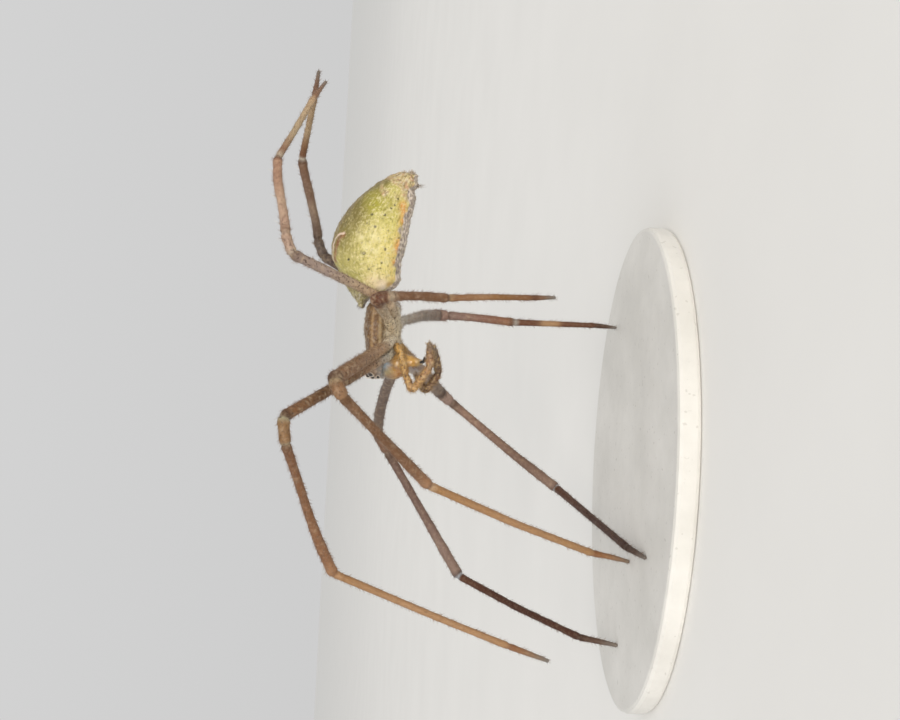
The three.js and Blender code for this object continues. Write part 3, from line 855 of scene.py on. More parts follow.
# Root ahead, swing of the coxa forward, lengths of the pieces after it, and radii along each piece
PAIRS = {
    1: {"root": 1.28, "swing": 15, "lengths": [12.0, 1.64, 11.37, 12.02, 2.76],
        "radii": [COXA_RADII, [0.3, 0.33, 0.35, 0.35, 0.34], [0.35, 0.33],
                  [0.3, 0.28, 0.28, 0.31, 0.36, 0.35], [0.26, 0.24, 0.23, 0.23], [0.21, 0.19, 0.13]]},
    2: {"root": 0.45, "swing": 18, "lengths": [10.71, 1.21, 11.09, 13.85, 2.71],
        "radii": [COXA_RADII, [0.3, 0.38, 0.43, 0.43, 0.4], [0.39, 0.36],
                  [0.3, 0.28, 0.29, 0.31, 0.35, 0.34], [0.27, 0.25, 0.24, 0.24], [0.21, 0.19, 0.13]]},
    3: {"root": -0.42, "swing": -25, "lengths": [7.22, 0.86, 4.93, 6.15, 1.72],
        "radii": [COXA_RADII, [0.27, 0.32, 0.37, 0.38], [0.38, 0.34], [0.3, 0.28, 0.3, 0.29],
                  [0.23, 0.21, 0.19], [0.18, 0.16, 0.11]]},
    4: {"root": -1.32, "swing": -36, "lengths": [7.71, 1.37, 5.81, 5.18, 1.76],
        "radii": [COXA_RADII, [0.27, 0.31, 0.33, 0.32], [0.33, 0.32], [0.31, 0.29, 0.31, 0.3],
                  [0.23, 0.215, 0.205], [0.19, 0.16, 0.11]]},
}
# Each leg: how its pieces turn from straight ahead to the left, how they rise, and colours along it, with
# the marks counting the pieces from the coxa, at 0, to the tip, at 6. The right legs' colours carry painted
# shade of the far side: darker and greyer than the left legs' past the coxa.
LEGS = {
    (1, "left"): ([69.3, -3, -39.4, 2.5, -13], [30.7, -3, -17.5, -69.8, -68], [
        (0, "#ece6d0"), (0.95, "#e0dac4"), (1.04, "#c4bdb0"), (1.16, "#b89474"), (1.45, "#8c6642"),
        (1.7, "#8a623e"), (1.94, "#ac7a50"), (1.985, "#6f4e35"), (2.06, "#c2b896"), (2.22, "#a98154"),
        (2.85, "#a47a4e"), (2.95, "#b3a385"), (3.015, "#855c3c"), (3.05, "#925f3a"), (3.4, "#9c6a42"),
        (3.85, "#ac7850"), (3.95, "#c99468"), (3.99, "#b07c54"), (4.02, "#d3a478"), (4.06, "#c0905f"),
        (4.4, "#cb9c6e"), (4.97, "#c99a6b"), (5.03, "#a06a44"), (5.35, "#b08058"), (5.8, "#9b8672"),
        (6, "#8d8780"),
    ]),
    (2, "left"): ([77.8, -4, -54.6, -46.5, -34], [18.6, -28, -32.2, -60.3], [
        (0, "#eee4ca"), (0.95, "#e4d8c0"), (1.05, "#c4ae92"), (1.14, "#c09c78"), (1.5, "#b48e6c"),
        (1.93, "#b08058"), (1.985, "#6c4c38"), (2.06, "#a6906c"), (2.3, "#a0744e"), (2.6, "#ac8058"),
        (2.9, "#b88e66"), (3.015, "#7c5432"), (3.05, "#97683f"), (3.5, "#8c5f3a"), (3.85, "#a06e46"),
        (3.95, "#c8946a"), (3.99, "#aa7a54"), (4.015, "#e3bc92"), (4.05, "#c79560"), (4.5, "#cf9f70"),
        (4.97, "#cb9b68"), (5.03, "#a0683f"), (5.4, "#b58257"), (6, "#94816f"),
    ]),
    # The third left leg's dark brown from the femur's end over the patella is painted shade
    (3, "left"): ([97.5, 164, -93.8, -102, -103], [9.3, -75.5, -49.3, -67.7, -69], [
        (0, "#f0e0c0"), (1, "#f4e2be"), (1.3, "#fae6c4"), (1.7, "#f8e0bc"), (1.84, "#94623f"),
        (2.1, "#7a482c"), (2.6, "#71452b"), (2.76, "#7c5034"), (2.86, "#c2a080"), (2.98, "#d2c3a8"),
        (3.05, "#b3977a"), (3.12, "#94643e"), (3.5, "#8f613c"), (3.93, "#93633c"), (3.975, "#6c452a"),
        (4.02, "#c59e72"), (4.08, "#a6744a"), (4.4, "#bb8c60"), (4.6, "#a3733f"), (4.95, "#96653c"),
        (5.04, "#74492f"), (5.4, "#8f6446"), (5.75, "#8b7a6b"), (6, "#9a938c"),
    ]),
    (4, "left"): ([123.9, -173, -150.8, -157, -143], [54.1, 27.6, 7.3, -22.4, -23.4], [
        (0, "#d8c8ac"), (0.95, "#cdb79c"), (1.1, "#a3805e"), (1.4, "#d0b698"), (1.65, "#c4aea2"),
        (1.94, "#bca598"), (1.985, "#8b7262"), (2.06, "#d0bda8"), (2.3, "#d6b6a0"), (2.9, "#dab79e"),
        (2.97, "#e2cbb4"), (3.03, "#b08c74"), (3.1, "#d8b29a"), (3.4, "#e6c2a6"), (3.7, "#cc9f82"),
        (3.93, "#d2a486"), (3.975, "#835840"), (4.03, "#d6c5ac"), (4.12, "#a87c60"), (4.4, "#d0b894"),
        (4.85, "#d9bc96"), (4.97, "#d4b08a"), (5.05, "#a2785c"), (5.6, "#9c7c68"), (6, "#958a80"),
    ]),
    # From here on the right legs: painted shade, deepest on the metatarsi of the first two and on the hind
    # leg's femur and patella
    (1, "right"): ([-60.1, -25.6, -3.5, 73.9, 81], [2, -23.3, -33.6, -40.6], [
        (0, "#e0d4c4"), (0.95, "#cfc0ae"), (1.08, "#8d7a6c"), (1.5, "#7a655a"), (1.94, "#85705f"),
        (1.985, "#5c453a"), (2.06, "#937a68"), (2.3, "#996c50"), (2.7, "#976e54"), (2.9, "#8c6c58"),
        (2.97, "#a38a74"), (3.03, "#6b5040"), (3.1, "#85665a"), (3.5, "#8c6e62"), (3.85, "#a5887a"),
        (3.94, "#a98c7c"), (3.985, "#78645c"), (4.01, "#c9d0d8"), (4.035, "#6a3d22"), (4.5, "#542a15"),
        (4.95, "#5c3018"), (5.04, "#4a2a17"), (5.5, "#6e5140"), (6, "#8a7f76"),
    ]),
    (2, "right"): ([-70.5, -42, -11.5, 79.8, 84.7], [-21.8, -45.2, -53.8, -9.6], [
        (0, "#e6dcc8"), (0.95, "#d8cab4"), (1.08, "#b09a88"), (1.5, "#b39a8a"), (1.9, "#9c8674"),
        (1.965, "#5c463c"), (2.03, "#a08878"), (2.3, "#c8a898"), (2.75, "#c2a294"), (2.9, "#b09082"),
        (2.97, "#baa08e"), (3.03, "#785c4c"), (3.1, "#b08c78"), (3.4, "#9c7a68"), (3.7, "#8a6a5a"),
        (3.94, "#a88a78"), (3.985, "#7a6258"), (4.01, "#d8dade"), (4.035, "#6c3e22"), (4.5, "#502610"),
        (4.95, "#4c2612"), (5.04, "#3e2110"), (5.6, "#5d4230"), (6, "#857a70"),
    ]),
    (3, "right"): ([-96.4, -96.4, 70.8, -155.6, -82], [-25.9, -68.4, -83.4, -88.8], [
        (0, "#e0dace"), (0.95, "#d2ccc0"), (1.1, "#b4aca0"), (1.3, "#aca298"), (1.7, "#a3958a"),
        (1.93, "#9c8a80"), (1.97, "#4b3a33"), (2.05, "#9d7f74"), (2.3, "#b08f82"), (2.85, "#ad8a7c"),
        (2.97, "#6b4c40"), (3.06, "#a6887c"), (3.5, "#a47866"), (3.9, "#a87350"), (3.97, "#7c553c"),
        (4.02, "#c4bcb2"), (4.07, "#7b4a2c"), (4.28, "#7f4e2e"), (4.36, "#c99f72"), (4.52, "#c79a6c"),
        (4.6, "#7c4a2a"), (4.95, "#6d4228"), (5.05, "#57382a"), (5.5, "#5f4436"), (6, "#8f8780"),
    ]),
    (4, "right"): ([-127.1, -173.5, 164.1, 134.1, 145], [44.4, 28.5, 10.7, -6.2, -6], [
        (0, "#cfc8be"), (0.95, "#bdb6ae"), (1.1, "#8b776a"), (1.5, "#6e5a50"), (1.94, "#65534a"),
        (1.985, "#4b3c34"), (2.06, "#71625a"), (2.5, "#695a52"), (2.97, "#7a685a"), (3.03, "#5c4838"),
        (3.1, "#7c6454"), (3.4, "#ae937c"), (3.55, "#92705a"), (3.92, "#90694e"), (3.97, "#6f4c38"),
        (4.02, "#ddd0bd"), (4.07, "#8b5d3f"), (4.25, "#a0744f"), (4.45, "#cbae88"), (4.9, "#c9ab86"),
        (5.04, "#8f6448"), (5.6, "#957360"), (6, "#928579"),
    ]),
}


def leg_joints(pair, side, turns, rises):
    """Joints of a leg: the coxa in the body's frame, then pieces by length, turn and rise. The last piece of
    a leg that stands comes down to the base, so its rise is minus the arcsine of height over length."""
    root, swing, lengths = (PAIRS[pair][key] for key in ("root", "swing", "lengths"))
    sign = 1 if side == "left" else -1
    swing = math.radians(swing)
    out = np.array([math.sin(swing), sign * math.cos(swing), 0])
    start = np.array([root, sign * ROOT["out"], -ROOT["down"]])
    joints = [from_body(start - ROOT["deep"] * out), from_body(start + COXA * out)]
    for i, length in enumerate(lengths):
        last = joints[-1]
        drop = min(1, (last[2] - STAND_TOP) / length)
        rise = math.radians(rises[i]) if i < len(rises) else -math.asin(drop)
        turn = math.radians(turns[i])
        way = np.array([math.cos(rise) * math.cos(turn), math.cos(rise) * math.sin(turn), math.sin(rise)])
        joints.append(last + length * way)
    return joints


def leg_radius(distance, starts, radii):
    """Radii along a leg: straight between each piece's own, with a groove at a joint and a slight swelling
    on either side of it."""
    places, values = [], []
    for k, row in enumerate(radii):
        span = np.linspace(starts[k] + 0.1, starts[k + 1] - 0.1, len(row))
        places.extend(span)
        values.extend(row)
    radius = np.interp(distance, places, values)
    for k, start in enumerate(starts[1:-1], 1):
        deep = 0.17 if k in (2, 3) else 0.1
        away = np.abs(distance - start)
        radius = radius * (1 + 0.1 * near(away, 0.34, 0.2) - deep * near(away, 0, 0.07))
    return radius


# How stout a leg is beside its pair's radii, and how far its line bows out of straight pieces, in mm to the
# picture's right and down, at marks along it
STOUT = {(1, "left"): 0.94, (1, "right"): 1.08, (2, "right"): 1.06, (3, "left"): 0.94, (4, "left"): 0.95}
BOWS = {
    (1, "left"): [
        (2.3, 0, 0), (3, 0.14, -0.04), (3.3, 0, 0), (3.5, -0.12, 0.05), (3.75, -0.18, 0.07),
        (4, -0.1, 0.04), (4.6, -0.06, 0.14), (5, -0.05, 0.1), (6, 0, 0),
    ],
    (2, "left"): [
        (2.5, 0, 0), (3, 0.06, -0.04), (3.5, -0.02, 0.02), (4, -0.06, 0.09), (4.5, -0.1, 0.24),
        (5, -0.05, 0.1), (5.6, 0, 0),
    ],
    (3, "left"): [
        (3, 0, 0), (3.5, 0, -0.09), (4, 0, -0.03), (4.5, 0, -0.08), (5, 0, 0),
    ],
    (4, "left"): [
        (1.3, 0, 0), (2, -0.09, 0.08), (2.3, -0.15, 0.07), (3, 0.08, 0), (3.3, 0, 0), (3.7, -0.2, 0.02),
        (4, -0.08, 0), (4.4, 0, 0),
    ],
    (1, "right"): [
        (1.05, 0, 0), (1.4, -0.36, -0.09), (1.7, -0.42, -0.1), (2, -0.26, 0.05), (2.5, -0.07, 0.03),
        (3, 0, 0), (3.8, -0.11, 0.07), (4.5, -0.12, 0.24), (5, -0.05, 0.1), (6, 0, 0),
    ],
    (2, "right"): [
        (3, 0, 0), (3.6, -0.07, 0.09), (4, -0.03, 0.03), (5, 0, 0),
    ],
    (3, "right"): [
        (1.1, 0, 0), (1.6, -0.02, -0.17), (2, 0, -0.08), (2.4, 0, 0), (3.4, 0, -0.08), (4, 0, 0),
    ],
    (4, "right"): [
        (0, -0.1, 0), (0.6, -0.26, 0), (1.05, -0.28, 0), (1.8, 0, 0), (2.6, 0, 0), (3.1, 0.22, -0.03),
        (3.6, 0, 0), (3.9, -0.19, 0.03), (4.5, -0.07, 0), (5.2, 0, 0),
    ],
}


def bowed(path, bow):
    """A leg's path with its bows added: each runs straight between its marks and is then evened out over
    thirteen points. The ways ahead and the arms are taken again from the moved centres."""
    marks, right, down = np.array(bow, float).T
    right, down = (np.interp(path.mark, marks, values)[:, None] for values in (right, down))
    shift = right * RIGHT + down * DOWN
    padded = np.pad(shift, ((6, 6), (0, 0)), mode="edge")
    moved = path.centres + sum(padded[i:i + len(shift)] for i in range(13)) / 13
    ways = unit(path.ways + np.gradient(moved - path.centres, path.distance, axis=0))
    arms = unit(path.arms - ways * (path.arms * ways).sum(1, keepdims=True))
    return path._replace(centres=moved, ways=ways, arms=arms)


# At marks along a leg: how strongly flecks show, how strongly blotches do, and a darkening past the coxa
FLECKS = [(0, 0.9), (1, 0.95), (1.9, 0.9), (2.1, 0.7), (3, 0.55), (3.9, 0.4), (4.1, 0.15), (6, 0.15)]
BLOTCH = [(0, 1.8), (1.2, 1.5), (1.5, 0.6), (2.2, 0.6), (3.9, 0.5), (4.1, 0.3), (6, 0.3)]
SHADE = [(0, 1.0), (1.2, 1.0), (1.5, 0.7)]
BRISTLES_PER_MM = 93.75
leg_lines = {}


def leg(pair, side):
    turns, rises, colours = LEGS[pair, side]
    joints = leg_joints(pair, side, turns, rises)
    path = bowed(path_along(joints, spacing=0.11, bend=0.42), BOWS[pair, side])
    seed = 20 + pair + (4 if side == "right" else 0)
    radius = leg_radius(path.distance, path.starts, PAIRS[pair]["radii"]) * STOUT.get((pair, side), 1)
    radius *= 1 + 0.022 * ripple(path.centres, 0.8, seed)
    grid = tube(path, radius, 16, root=radius[0], tip=radius[-1])
    marks = stretched(path.mark)
    flecks, rough, shade = (np.interp(marks, *zip(*table))[:, None] for table in (FLECKS, BLOTCH, SHADE))
    blotch = ripple(grid, 0.24, seed + 30)
    tone = layered(shade[..., None] * banded(grid, marks, colours), [
        (0.3 * rough * step(blotch, 0.5, 1.5), "#d4bea4"),
        (0.25 * rough * step(-blotch, 0.5, 1.5), "#5a4234"),
    ])
    flecks = flecks * (1 if side == "left" else 0.6) + 0 * blotch
    name = f"leg{pair}_{side}"
    closed_skin(f"{name}_skin", grid, tone, flecks, LEG_SKIN,
                [f"{name}_{part}" for part in ("femur", "tibia", "metatarsus", "tarsus")])
    leg_lines[pair, side] = path, radius
    count = int(BRISTLES_PER_MM * path.starts[-1])
    bristles(f"{name}_bristles", [(grid[4:], tone[4:])], count, 0.26, 0.85, 0.011, "#9c7a5e")


# The body and the legs are built here, and the rest below, piece by piece

abdomen_grid, abdomen_tone = abdomen()
head_grid, head_tone = head()
for pair, side in LEGS:
    leg(pair, side)


# Waist

def waist():
    joints = from_body([[-1.9, 0, 0.5], [-2.35, 0, 0.5], [-2.95, 0, 0.55]])
    path = path_along(joints, spacing=0.06, bend=0.25)
    flare = 0.24 + 0.2 * near(path.distance, 0, 0.25) + 0.26 * near(path.distance, path.distance[-1], 0.35)
    grid = tube(path, flare, 28, root=flare[0], tip=flare[-1])
    closed_skin("waist_skin", grid, plain(grid, "#9d8463"), 0.6, HEAD_SKIN, ["pedicel"])


waist()


# Spinnerets

SPINNERETS = [
    {"name": "front", "ahead": -10.5, "out": 0.27, "high": -1.16, "length": 0.24, "root": 0.2, "tip": 0.09},
    {"name": "rear", "ahead": -10.5, "out": 0.2, "high": -0.66, "length": 0.2, "root": 0.16, "tip": 0.08},
]
SPINNERET_COLOURS = [(0, "#d2b896"), (0.4, "#a1866c"), (0.5, "#e2cdb0"), (1, "#bfa386")]


def spinneret(name, sign, ahead, out, high, length, root, tip):
    joints = from_body([[ahead, sign * out, high], [ahead - length, sign * out * 0.8, high]])
    path = path_along(joints, spacing=0.025, bend=0.1)
    share = path.distance / path.distance[-1]
    radius = root + (tip - root) * share - 0.03 * near(share, 0.42, 0.05) + 0.012 * near(share, 0.6, 0.12)
    grid = tube(path, radius, 20, root=root, tip=tip)
    tone = banded(grid, stretched(share), SPINNERET_COLOURS)
    full_name = f"spinneret_{name}_{'left' if sign > 0 else 'right'}"
    closed_skin(f"{full_name}_skin", grid, tone, 0.6, HEAD_SKIN, [full_name])
    return grid, tone


spinneret_skins = [spinneret(sign=sign, **row) for row in SPINNERETS for sign in (1, -1)]


# Jaws and fangs

# ahead, out, height, half size across, half size along the body
JAW = np.array([
    [2.12, 0.42, 0.1, 0.0, 0.0],
    [2.12, 0.42, 0.04, 0.3, 0.66],
    [2.12, 0.42, -0.18, 0.37, 0.78],
    [2.1, 0.42, -0.8, 0.38, 0.86],
    [1.99, 0.41, -1.35, 0.36, 0.7],
    [1.86, 0.39, -1.9, 0.27, 0.42],
    [1.82, 0.36, -2.38, 0.16, 0.19],
    [1.81, 0.355, -2.46, 0.1, 0.12],
    [1.81, 0.35, -2.48, 0.0, 0.0],
])
FANG = [[1.82, 0.35, -2.4], [1.74, 0.3, -2.67], [1.42, 0.19, -2.7]]
FANG_RADII = [0.1, 0.075, 0.025]


def jaw(side):
    sign = 1 if side == "left" else -1
    turned_over = [1, 1, 1, -1, -1]
    stations = through(JAW, 74, JAW[1] * turned_over, JAW[-2] * turned_over)[1:-1]
    ahead, out, high, across, along = (stations[:, i, None] for i in range(5))
    turns = around(40)
    front = along * (1 + 0.05 * near(high, -0.6, 0.5)) * np.cos(turns)
    grid = np.stack([ahead + front, sign * (out + across * np.sin(turns)), high + 0 * turns], -1)
    grid += skin_normals(grid) * (0.01 * ripple(grid, 0.3, 41))[..., None]
    front = grid[..., 0] - ahead
    high = high + 0 * turns
    # The distance to a painted sheen: a pale blue patch high on the jaw's outer side, standing in for
    # reflected light
    painted_sheen_distance = np.linalg.norm(grid - np.array([2.02, sign * 0.79, -0.22]), axis=-1)
    blotch = ripple(grid, 0.3, 42)
    tone = layered(plain(grid, "#c89648"), [
        (0.9 * step(front, 0.05, 0.4) * step(high, -1.0, -0.4), "#8a8058"),
        (0.8 * near(front, 0.75, 0.25) * step(high, -1.5, -0.5), "#a28162"),
        (0.8 * near(high, -1.25, 0.28) * step(front, 0.1, 0.5), "#985c30"),
        (0.7 * step(high, -0.35, -0.05), "#a0a49e"),
        (0.6 * near(front, -0.2, 0.22) * near(high, -1.7, 0.4), "#dba63c"),
        # Painted shade: a dark slanting line across the jaw's front, where a crease would lie, though the
        # shape has none
        (0.8 * near(front + 0.5 * (high + 0.9), 0.1, 0.09) * near(high, -0.85, 0.5), "#6a4420"),
        (0.7 * step(-high, 2.1, 2.35), "#b49a70"),
        # Painted shade: dark purple-brown low on the jaw's front, in the gap beside the palp
        (0.85 * step(front, 0.16, 0.36) * step(-high, 1.5, 1.75), "#5d4748"),
        # Painted sheen: pale blue reflected light
        (0.95 * near(painted_sheen_distance, 0, 0.33), "#b8d4e8"),
        (0.35 * step(blotch, 0.5, 1.4), "#e6c988"),
        (0.4 * step(-blotch, 0.5, 1.4), "#94662e"),
    ])
    skin = from_body(grid)
    closed_skin(f"chelicera_{side}_skin", skin, tone, 0.35, JAW_SKIN, [f"chelicera_{side}"])
    path = path_along(from_body(np.array(FANG) * [1, sign, 1]), spacing=0.02, bend=0.2)
    radius = np.interp(path.distance / path.distance[-1], [0, 0.5, 1], FANG_RADII)
    fang = tube(path, radius, 16, root=FANG_RADII[0], tip=FANG_RADII[-1])
    closed_skin(f"fang_{side}_skin", fang, plain(fang, "#1c110b"), 0.5, FANG_SKIN, [f"fang_{side}"])
    return skin, tone


jaw_skins = [jaw(side) for side in ("left", "right")]


# Palps

PALP_ROOT = [[0.8, 0.6, -0.85], [1.15, 1.0, -1.2]]
PALP = {
    "left": PALP_ROOT + [[2.7, 1.2, -1.72], [3.71, 1.25, -2.19], [2.07, 1.2, -3.3], [0.6, 1.15, -3.18]],
    "right": PALP_ROOT + [[2.7, 1.2, -2.0], [3.79, 1.25, -2.63], [2.5, 1.2, -3.5], [0.73, 1.15, -3.09]],
}
PALP_RADII = [[0.26, 0.24, 0.22], [0.2, 0.21, 0.21], [0.21, 0.23, 0.22], [0.22, 0.24, 0.23],
              [0.23, 0.26, 0.24, 0.16]]
PALP_COLOURS = {
    "left": [
        (1, "#dcac5e"), (1.5, "#d0a45e"), (1.93, "#c2945a"), (2, "#8c6438"), (2.1, "#c69a60"),
        (2.9, "#bc905c"), (3, "#7c5a38"), (3.08, "#cda066"), (3.9, "#b88c62"), (4, "#7a563a"),
        (4.1, "#a87c58"), (4.6, "#8f7058"), (5, "#84766c"),
    ],
    # The right palp's colours carry painted shade of the far side: darker than the left palp's
    "right": [
        (1, "#a8864e"), (1.9, "#9a7a50"), (2, "#6c5238"), (2.1, "#947450"), (2.9, "#8c6c4a"),
        (3, "#5c4430"), (3.1, "#846448"), (3.9, "#7a5a44"), (4, "#56402f"), (4.1, "#7f6450"),
        (4.6, "#786458"), (5, "#706864"),
    ],
}


def palp(side):
    sign = 1 if side == "left" else -1
    path = path_along(from_body(np.array(PALP[side]) * [1, sign, 1]), spacing=0.05, bend=0.3)
    radius = leg_radius(path.distance, path.starts, PALP_RADII)
    radius *= 1 + 0.03 * ripple(path.centres, 0.5, 51)
    grid = tube(path, radius, 20, root=0.2, tip=radius[-1])
    blotch = ripple(grid, 0.2, 52)
    tone = layered(banded(grid, stretched(path.mark), PALP_COLOURS[side]), [
        (0.55 * step(blotch, 0.4, 1.2), "#ecca88"),
        (0.65 * step(-blotch, 0.4, 1.2), "#6a4322"),
    ])
    closed_skin(f"palp_{side}_skin", grid, tone, 0.95, LEG_SKIN,
                [f"palp_{side}_{part}" for part in ("femur", "tibia", "tarsus")])
    return grid, tone


palp_skins = [palp(side) for side in ("left", "right")]


# Eyes

# how far ahead, the turn round the section from the side line up, radius, how far the gaze turns aside
EYES = {
    "posterior_median": (2.78, 60, 0.19, 2.0),
    "anterior_median": (2.9, 32, 0.13, 1.3),
    "anterior_lateral": (2.83, -24, 0.12, 0.6),
    "posterior_lateral": (2.68, 20, 0.2, 0.0),
}


# An eye's outline from its seat to the crown of its lens: out and up, in its radii
EYE_OUTLINE = np.array([
    [1.34, -0.3], [1.38, -0.05], [1.34, 0.14], [1.2, 0.28], [1.0, 0.32], [0.84, 0.26],
    [0.78, 0.32], [0.7, 0.47], [0.54, 0.61], [0.3, 0.71], [0.1, 0.74],
])
# The rim's tones on its outer slope and at its crest: the great eyes' are the brightest
RIM = ("#cdbca8", "#dfd0be")
GREAT_RIM = ("#f4ece2", "#fff8f0")


def eye(name, side, ahead, turn, radius, aside):
    """An eye: a pale rim that rises from the skin, and a dark lens in it, both turned about the seat's
    normal."""
    sign = 1 if side == "left" else -1
    stations = head_stations(400)
    wide, top, margin = stations[np.abs(stations[:, 0] - ahead).argmin()][1:4]
    line = margin + (top - margin) * SIDE_LINE
    t = math.radians(turn)
    reach = top - line if turn > 0 else line - margin
    place = np.array([ahead, sign * wide * math.cos(t), line + reach * math.sin(t)])
    gap = np.linalg.norm(head_grid - place, axis=-1)
    nearest = np.unravel_index(gap.argmin(), gap.shape)
    seat, normal = head_grid[nearest], skin_normals(head_grid)[nearest]
    normal = unit(normal + aside * np.array([0, sign, -0.2]))
    before = 2 * EYE_OUTLINE[0] - EYE_OUTLINE[1]
    out, up = through(EYE_OUTLINE, 34, before, EYE_OUTLINE[-1] * [-1, 1]).T
    helper = unit(np.cross(normal, (0.3, 0.1, 1)))
    turns = around(36)[:, None]
    spokes = np.cos(turns) * helper + np.sin(turns) * np.cross(normal, helper)
    grid = seat + radius * (out[:, None, None] * spokes + up[:, None, None] * normal)
    dim, bright = GREAT_RIM if name == "posterior_median" else RIM
    tone = banded(grid, -out, [(-1.38, "#9f8468"), (-1.2, dim), (-0.9, bright), (-0.82, "#5a4234"),
                               (-0.74, "#15100d"), (0, "#0a0808")])
    closed_skin(f"eye_{name}_{side}_lens", from_body(grid), tone, 0.0, LENS, [f"eye_{name}_{side}"])


for name, row in EYES.items():
    for side in ("left", "right"):
        eye(name, side, *row)


# Bristles of the body, and the pale spines and small claws of the legs

PALE = "#e6dccb"
abdomen_skins = [(from_body(abdomen_grid), abdomen_tone)]
head_skins = [(from_body(head_grid), head_tone)]
# Coat, slot, skins, first and last ring, bristles to a skin, length, lean, thickness, colour laid on
for part, slot, skins, start, end, count, length, lean, thick, paler in (
    ("abdomen", "abdomen", abdomen_skins, 2, -2, 3400, 0.16, 0.95, 0.010, "#d8c98e"),
    ("head", "carapace", head_skins, 2, -2, 2600, 0.20, 0.80, 0.011, PALE),
    ("palp", "palp", palp_skins, 6, None, 1500, 0.24, 0.75, 0.011, "#cdae84"),
    ("jaw", "jaw", jaw_skins, 0, None, 500, 0.20, 0.80, 0.010, PALE),
    ("spinneret", "spinneret", spinneret_skins, 6, None, 160, 0.24, 0.50, 0.011, PALE),
):
    cut = [(grid[start:end], tone[start:end]) for grid, tone in skins]
    bristles(f"{part}_bristles", cut, count, length, lean, thick, paler)

SPIKE_RINGS, SPIKE_SIDES = 6, 6


def spikes(name, roots, ways, lengths, thick, colour):
    """Slim curved spikes: rings that shrink nearly to a point, moved along the first way given and, by the
    square of the share along, towards the second."""
    t = np.linspace(0, 1, SPIKE_RINGS)[:, None]
    turns = around(SPIKE_SIDES)[:, None]
    quads, fans = ring_faces(SPIKE_RINGS, SPIKE_SIDES)
    points, faces = [], []
    for number, (root, (way, bend), length) in enumerate(zip(roots, ways, lengths)):
        way, bend = unit(np.array(way, float)), unit(np.array(bend, float))
        centres = np.array(root) + length * (t * way + 0.35 * t**2 * bend)
        arm = unit(np.cross(way, (0.31, 0.52, 0.79)))
        out = np.cos(turns) * arm + np.sin(turns) * np.cross(way, arm)
        rings = centres[:, None] + thick * (1.02 - t[..., None]) ** 0.8 * out
        ends = [rings[0].mean(0)[None], rings[-1].mean(0)[None]]
        points.append(np.concatenate([rings.reshape(-1, 3)] + ends))
        first = number * len(points[-1])
        faces.append((quads + first, fans + first))
    quads, fans = (np.concatenate(parts)[:, ::-1] for parts in zip(*faces))
    points = np.concatenate(points)
    tone = with_flecks(plain(points, colour), 0.0)
    return new_piece(name, points, [quads, fans], BRISTLE, {"tone": tone})


def spines():
    """Short pale spines that stand off the upper side of the hind legs' tibiae and patellae."""
    roots, ways = [], []
    for side, marks in (("left", (2.5, 3.1, 3.45, 3.8)), ("right", (2.6, 3.25, 3.55, 3.85))):
        path, radius = leg_lines[4, side]
        for number, place in enumerate(marks):
            i = np.abs(path.mark - place).argmin()
            way = unit(np.array([0, 0.25 * (-1) ** number, 1.0]) + 0.35 * path.ways[i])
            roots.append(path.centres[i] + radius[i] * 0.8 * way)
            ways.append((way, path.ways[i]))
    spikes("hind_leg_spines", roots, ways, [0.55] * len(roots), 0.03, "#efe9df")


def claws():
    """Two small hooked claws at the end of each leg."""
    roots, ways = [], []
    lift = np.array([0, 0, 1.0])
    for path, _ in leg_lines.values():
        last = path.ways[-1]
        for sign in (1, -1):
            spread = unit(np.cross(last, lift)) * sign
            roots.append(path.centres[-1] + spread * 0.07 + lift * 0.02)
            ways.append((last * (1, 1, 0.25) + 0.45 * spread + lift * 0.35, last * (1, 1, 0) - 0.8 * lift))
    spikes("leg_claws", roots, ways, [0.16] * len(roots), 0.022, "#2b1d15")


def tufts():
    """Loose hairs at the abdomen's front corner, at the end behind the spinnerets and under the jaws: place,
    way, how far the roots spread, length, number and colour."""
    normals = skin_normals(abdomen_grid)
    places = [
        (np.array([-1.85, 0.0, 1.88]), (0.75, 0, 0.5), 0.3, 0.34, 34, "#a59b90"),
        (on_skin(abdomen_grid, normals, (417, 185)) * [1, 0, 1], (-0.1, 0, -1.0), 0.22, 0.34, 22, "#b9aca0"),
        (np.array([2.2, 0.75, -1.9]), (0.8, 0.2, -0.45), 0.24, 0.5, 26, "#cfc6c2"),
        (np.array([2.2, -0.75, -1.9]), (0.8, -0.2, -0.45), 0.24, 0.5, 26, "#cfc6c2"),
    ]
    for number, (place, way, spread, length, count, colour) in enumerate(places):
        roots = from_body(place + chance.normal(0, spread * 0.5, (count, 3)) * (0.6, 1, 0.6))
        ways = unit(np.array(way) + chance.normal(0, 0.3, (count, 3)))
        turned = from_body(ways) - BODY_PLACE
        lengths = length * chance.uniform(0.6, 1.3, count)
        bends = [(way, (0.2, 0, -1)) for way in turned]
        spikes(f"tuft_{number + 1}", roots, bends, lengths, 0.013, colour)


spines()
claws()
tufts()


# The base keeps its CAD shape

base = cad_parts["stand_base"]
base.data.materials.clear()
base.data.materials.append(RESIN)


# Studio: a pale floor, a large warm key light a little above the camera's line and further off, a weak fill
# from the front, and a weaker light from behind

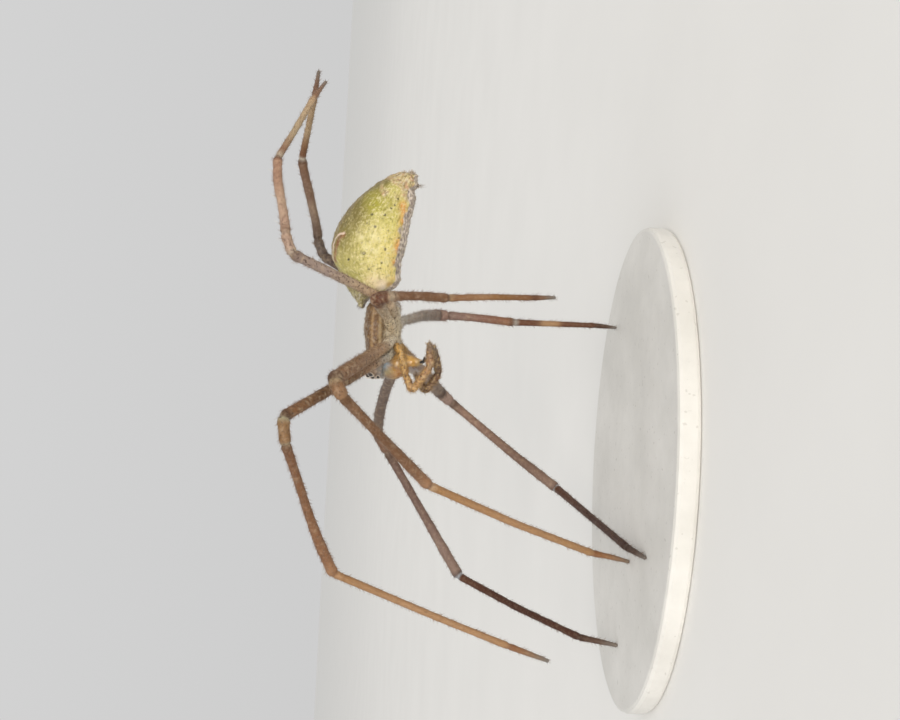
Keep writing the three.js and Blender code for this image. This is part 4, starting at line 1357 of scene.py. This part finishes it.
BODY_MIDDLE = (-0.004, 0, 0.016)
FLOOR_SIDES = 96


def area_light(name, place, size, power, colour, spread):
    """A round light aimed at the body, with a spread in degrees."""
    lamp = bpy.data.lights.new(name, "AREA")
    lamp.shape, lamp.size, lamp.energy = "DISK", size, power
    lamp.color = linear(colour)
    lamp.spread = math.radians(spread)
    light = bpy.data.objects.new(name, lamp)
    light.location = Vector(place)
    light.rotation_euler = (Vector(BODY_MIDDLE) - Vector(place)).to_track_quat("-Z", "Y").to_euler()
    bpy.context.scene.collection.objects.link(light)


def studio():
    """The floor is a wide level disc. The sky is an even grey, slightly brighter overhead, and where the far
    floor meets it the sky is a little the darker, so a soft edge shows."""
    turns = around(FLOOR_SIDES)
    radii = np.array([0.02, 0.1, 0.4, 1.2, 3.0])[:, None]
    grid = np.stack([radii * np.cos(turns), radii * np.sin(turns), 0 * radii + 0 * turns], -1)
    quads, fans = ring_faces(len(radii), FLOOR_SIDES)
    mesh = bpy.data.meshes.new("floor")
    faces = quads[:, ::-1].tolist() + fans[:FLOOR_SIDES, ::-1].tolist()
    mesh.from_pydata(grid.reshape(-1, 3).tolist() + [[0, 0, 0]], [], faces)
    mesh.materials.append(PAPER)
    floor = bpy.data.objects.new("floor", mesh)
    bpy.context.scene.collection.objects.link(floor)
    world = bpy.data.worlds.new("studio")
    bpy.context.scene.world = world
    world.use_nodes = True
    sky = world.node_tree
    way = node(sky, "ShaderNodeTexCoord").outputs["Generated"]
    rise = node(sky, "ShaderNodeSeparateXYZ", [("Vector", way)]).outputs["Z"]
    shade = ramp(sky, rise, [(0.0, 0.615), (1.0, 0.74)])
    sky.links.new(shade, sky.nodes["Background"].inputs["Color"])
    area_light("key", (-0.14, 1.2, 0.3), 0.48, 0.66, "#fff8ee", 40)
    area_light("fill", (0.5, 0.42, 0.18), 0.3, 0.1, "#f4f7ff", 80)
    area_light("back", (-0.2, -0.6, 0.4), 0.3, 0.04, "#fffdf8", 80)


studio()
bpy.context.scene.view_settings.view_transform = "Standard"
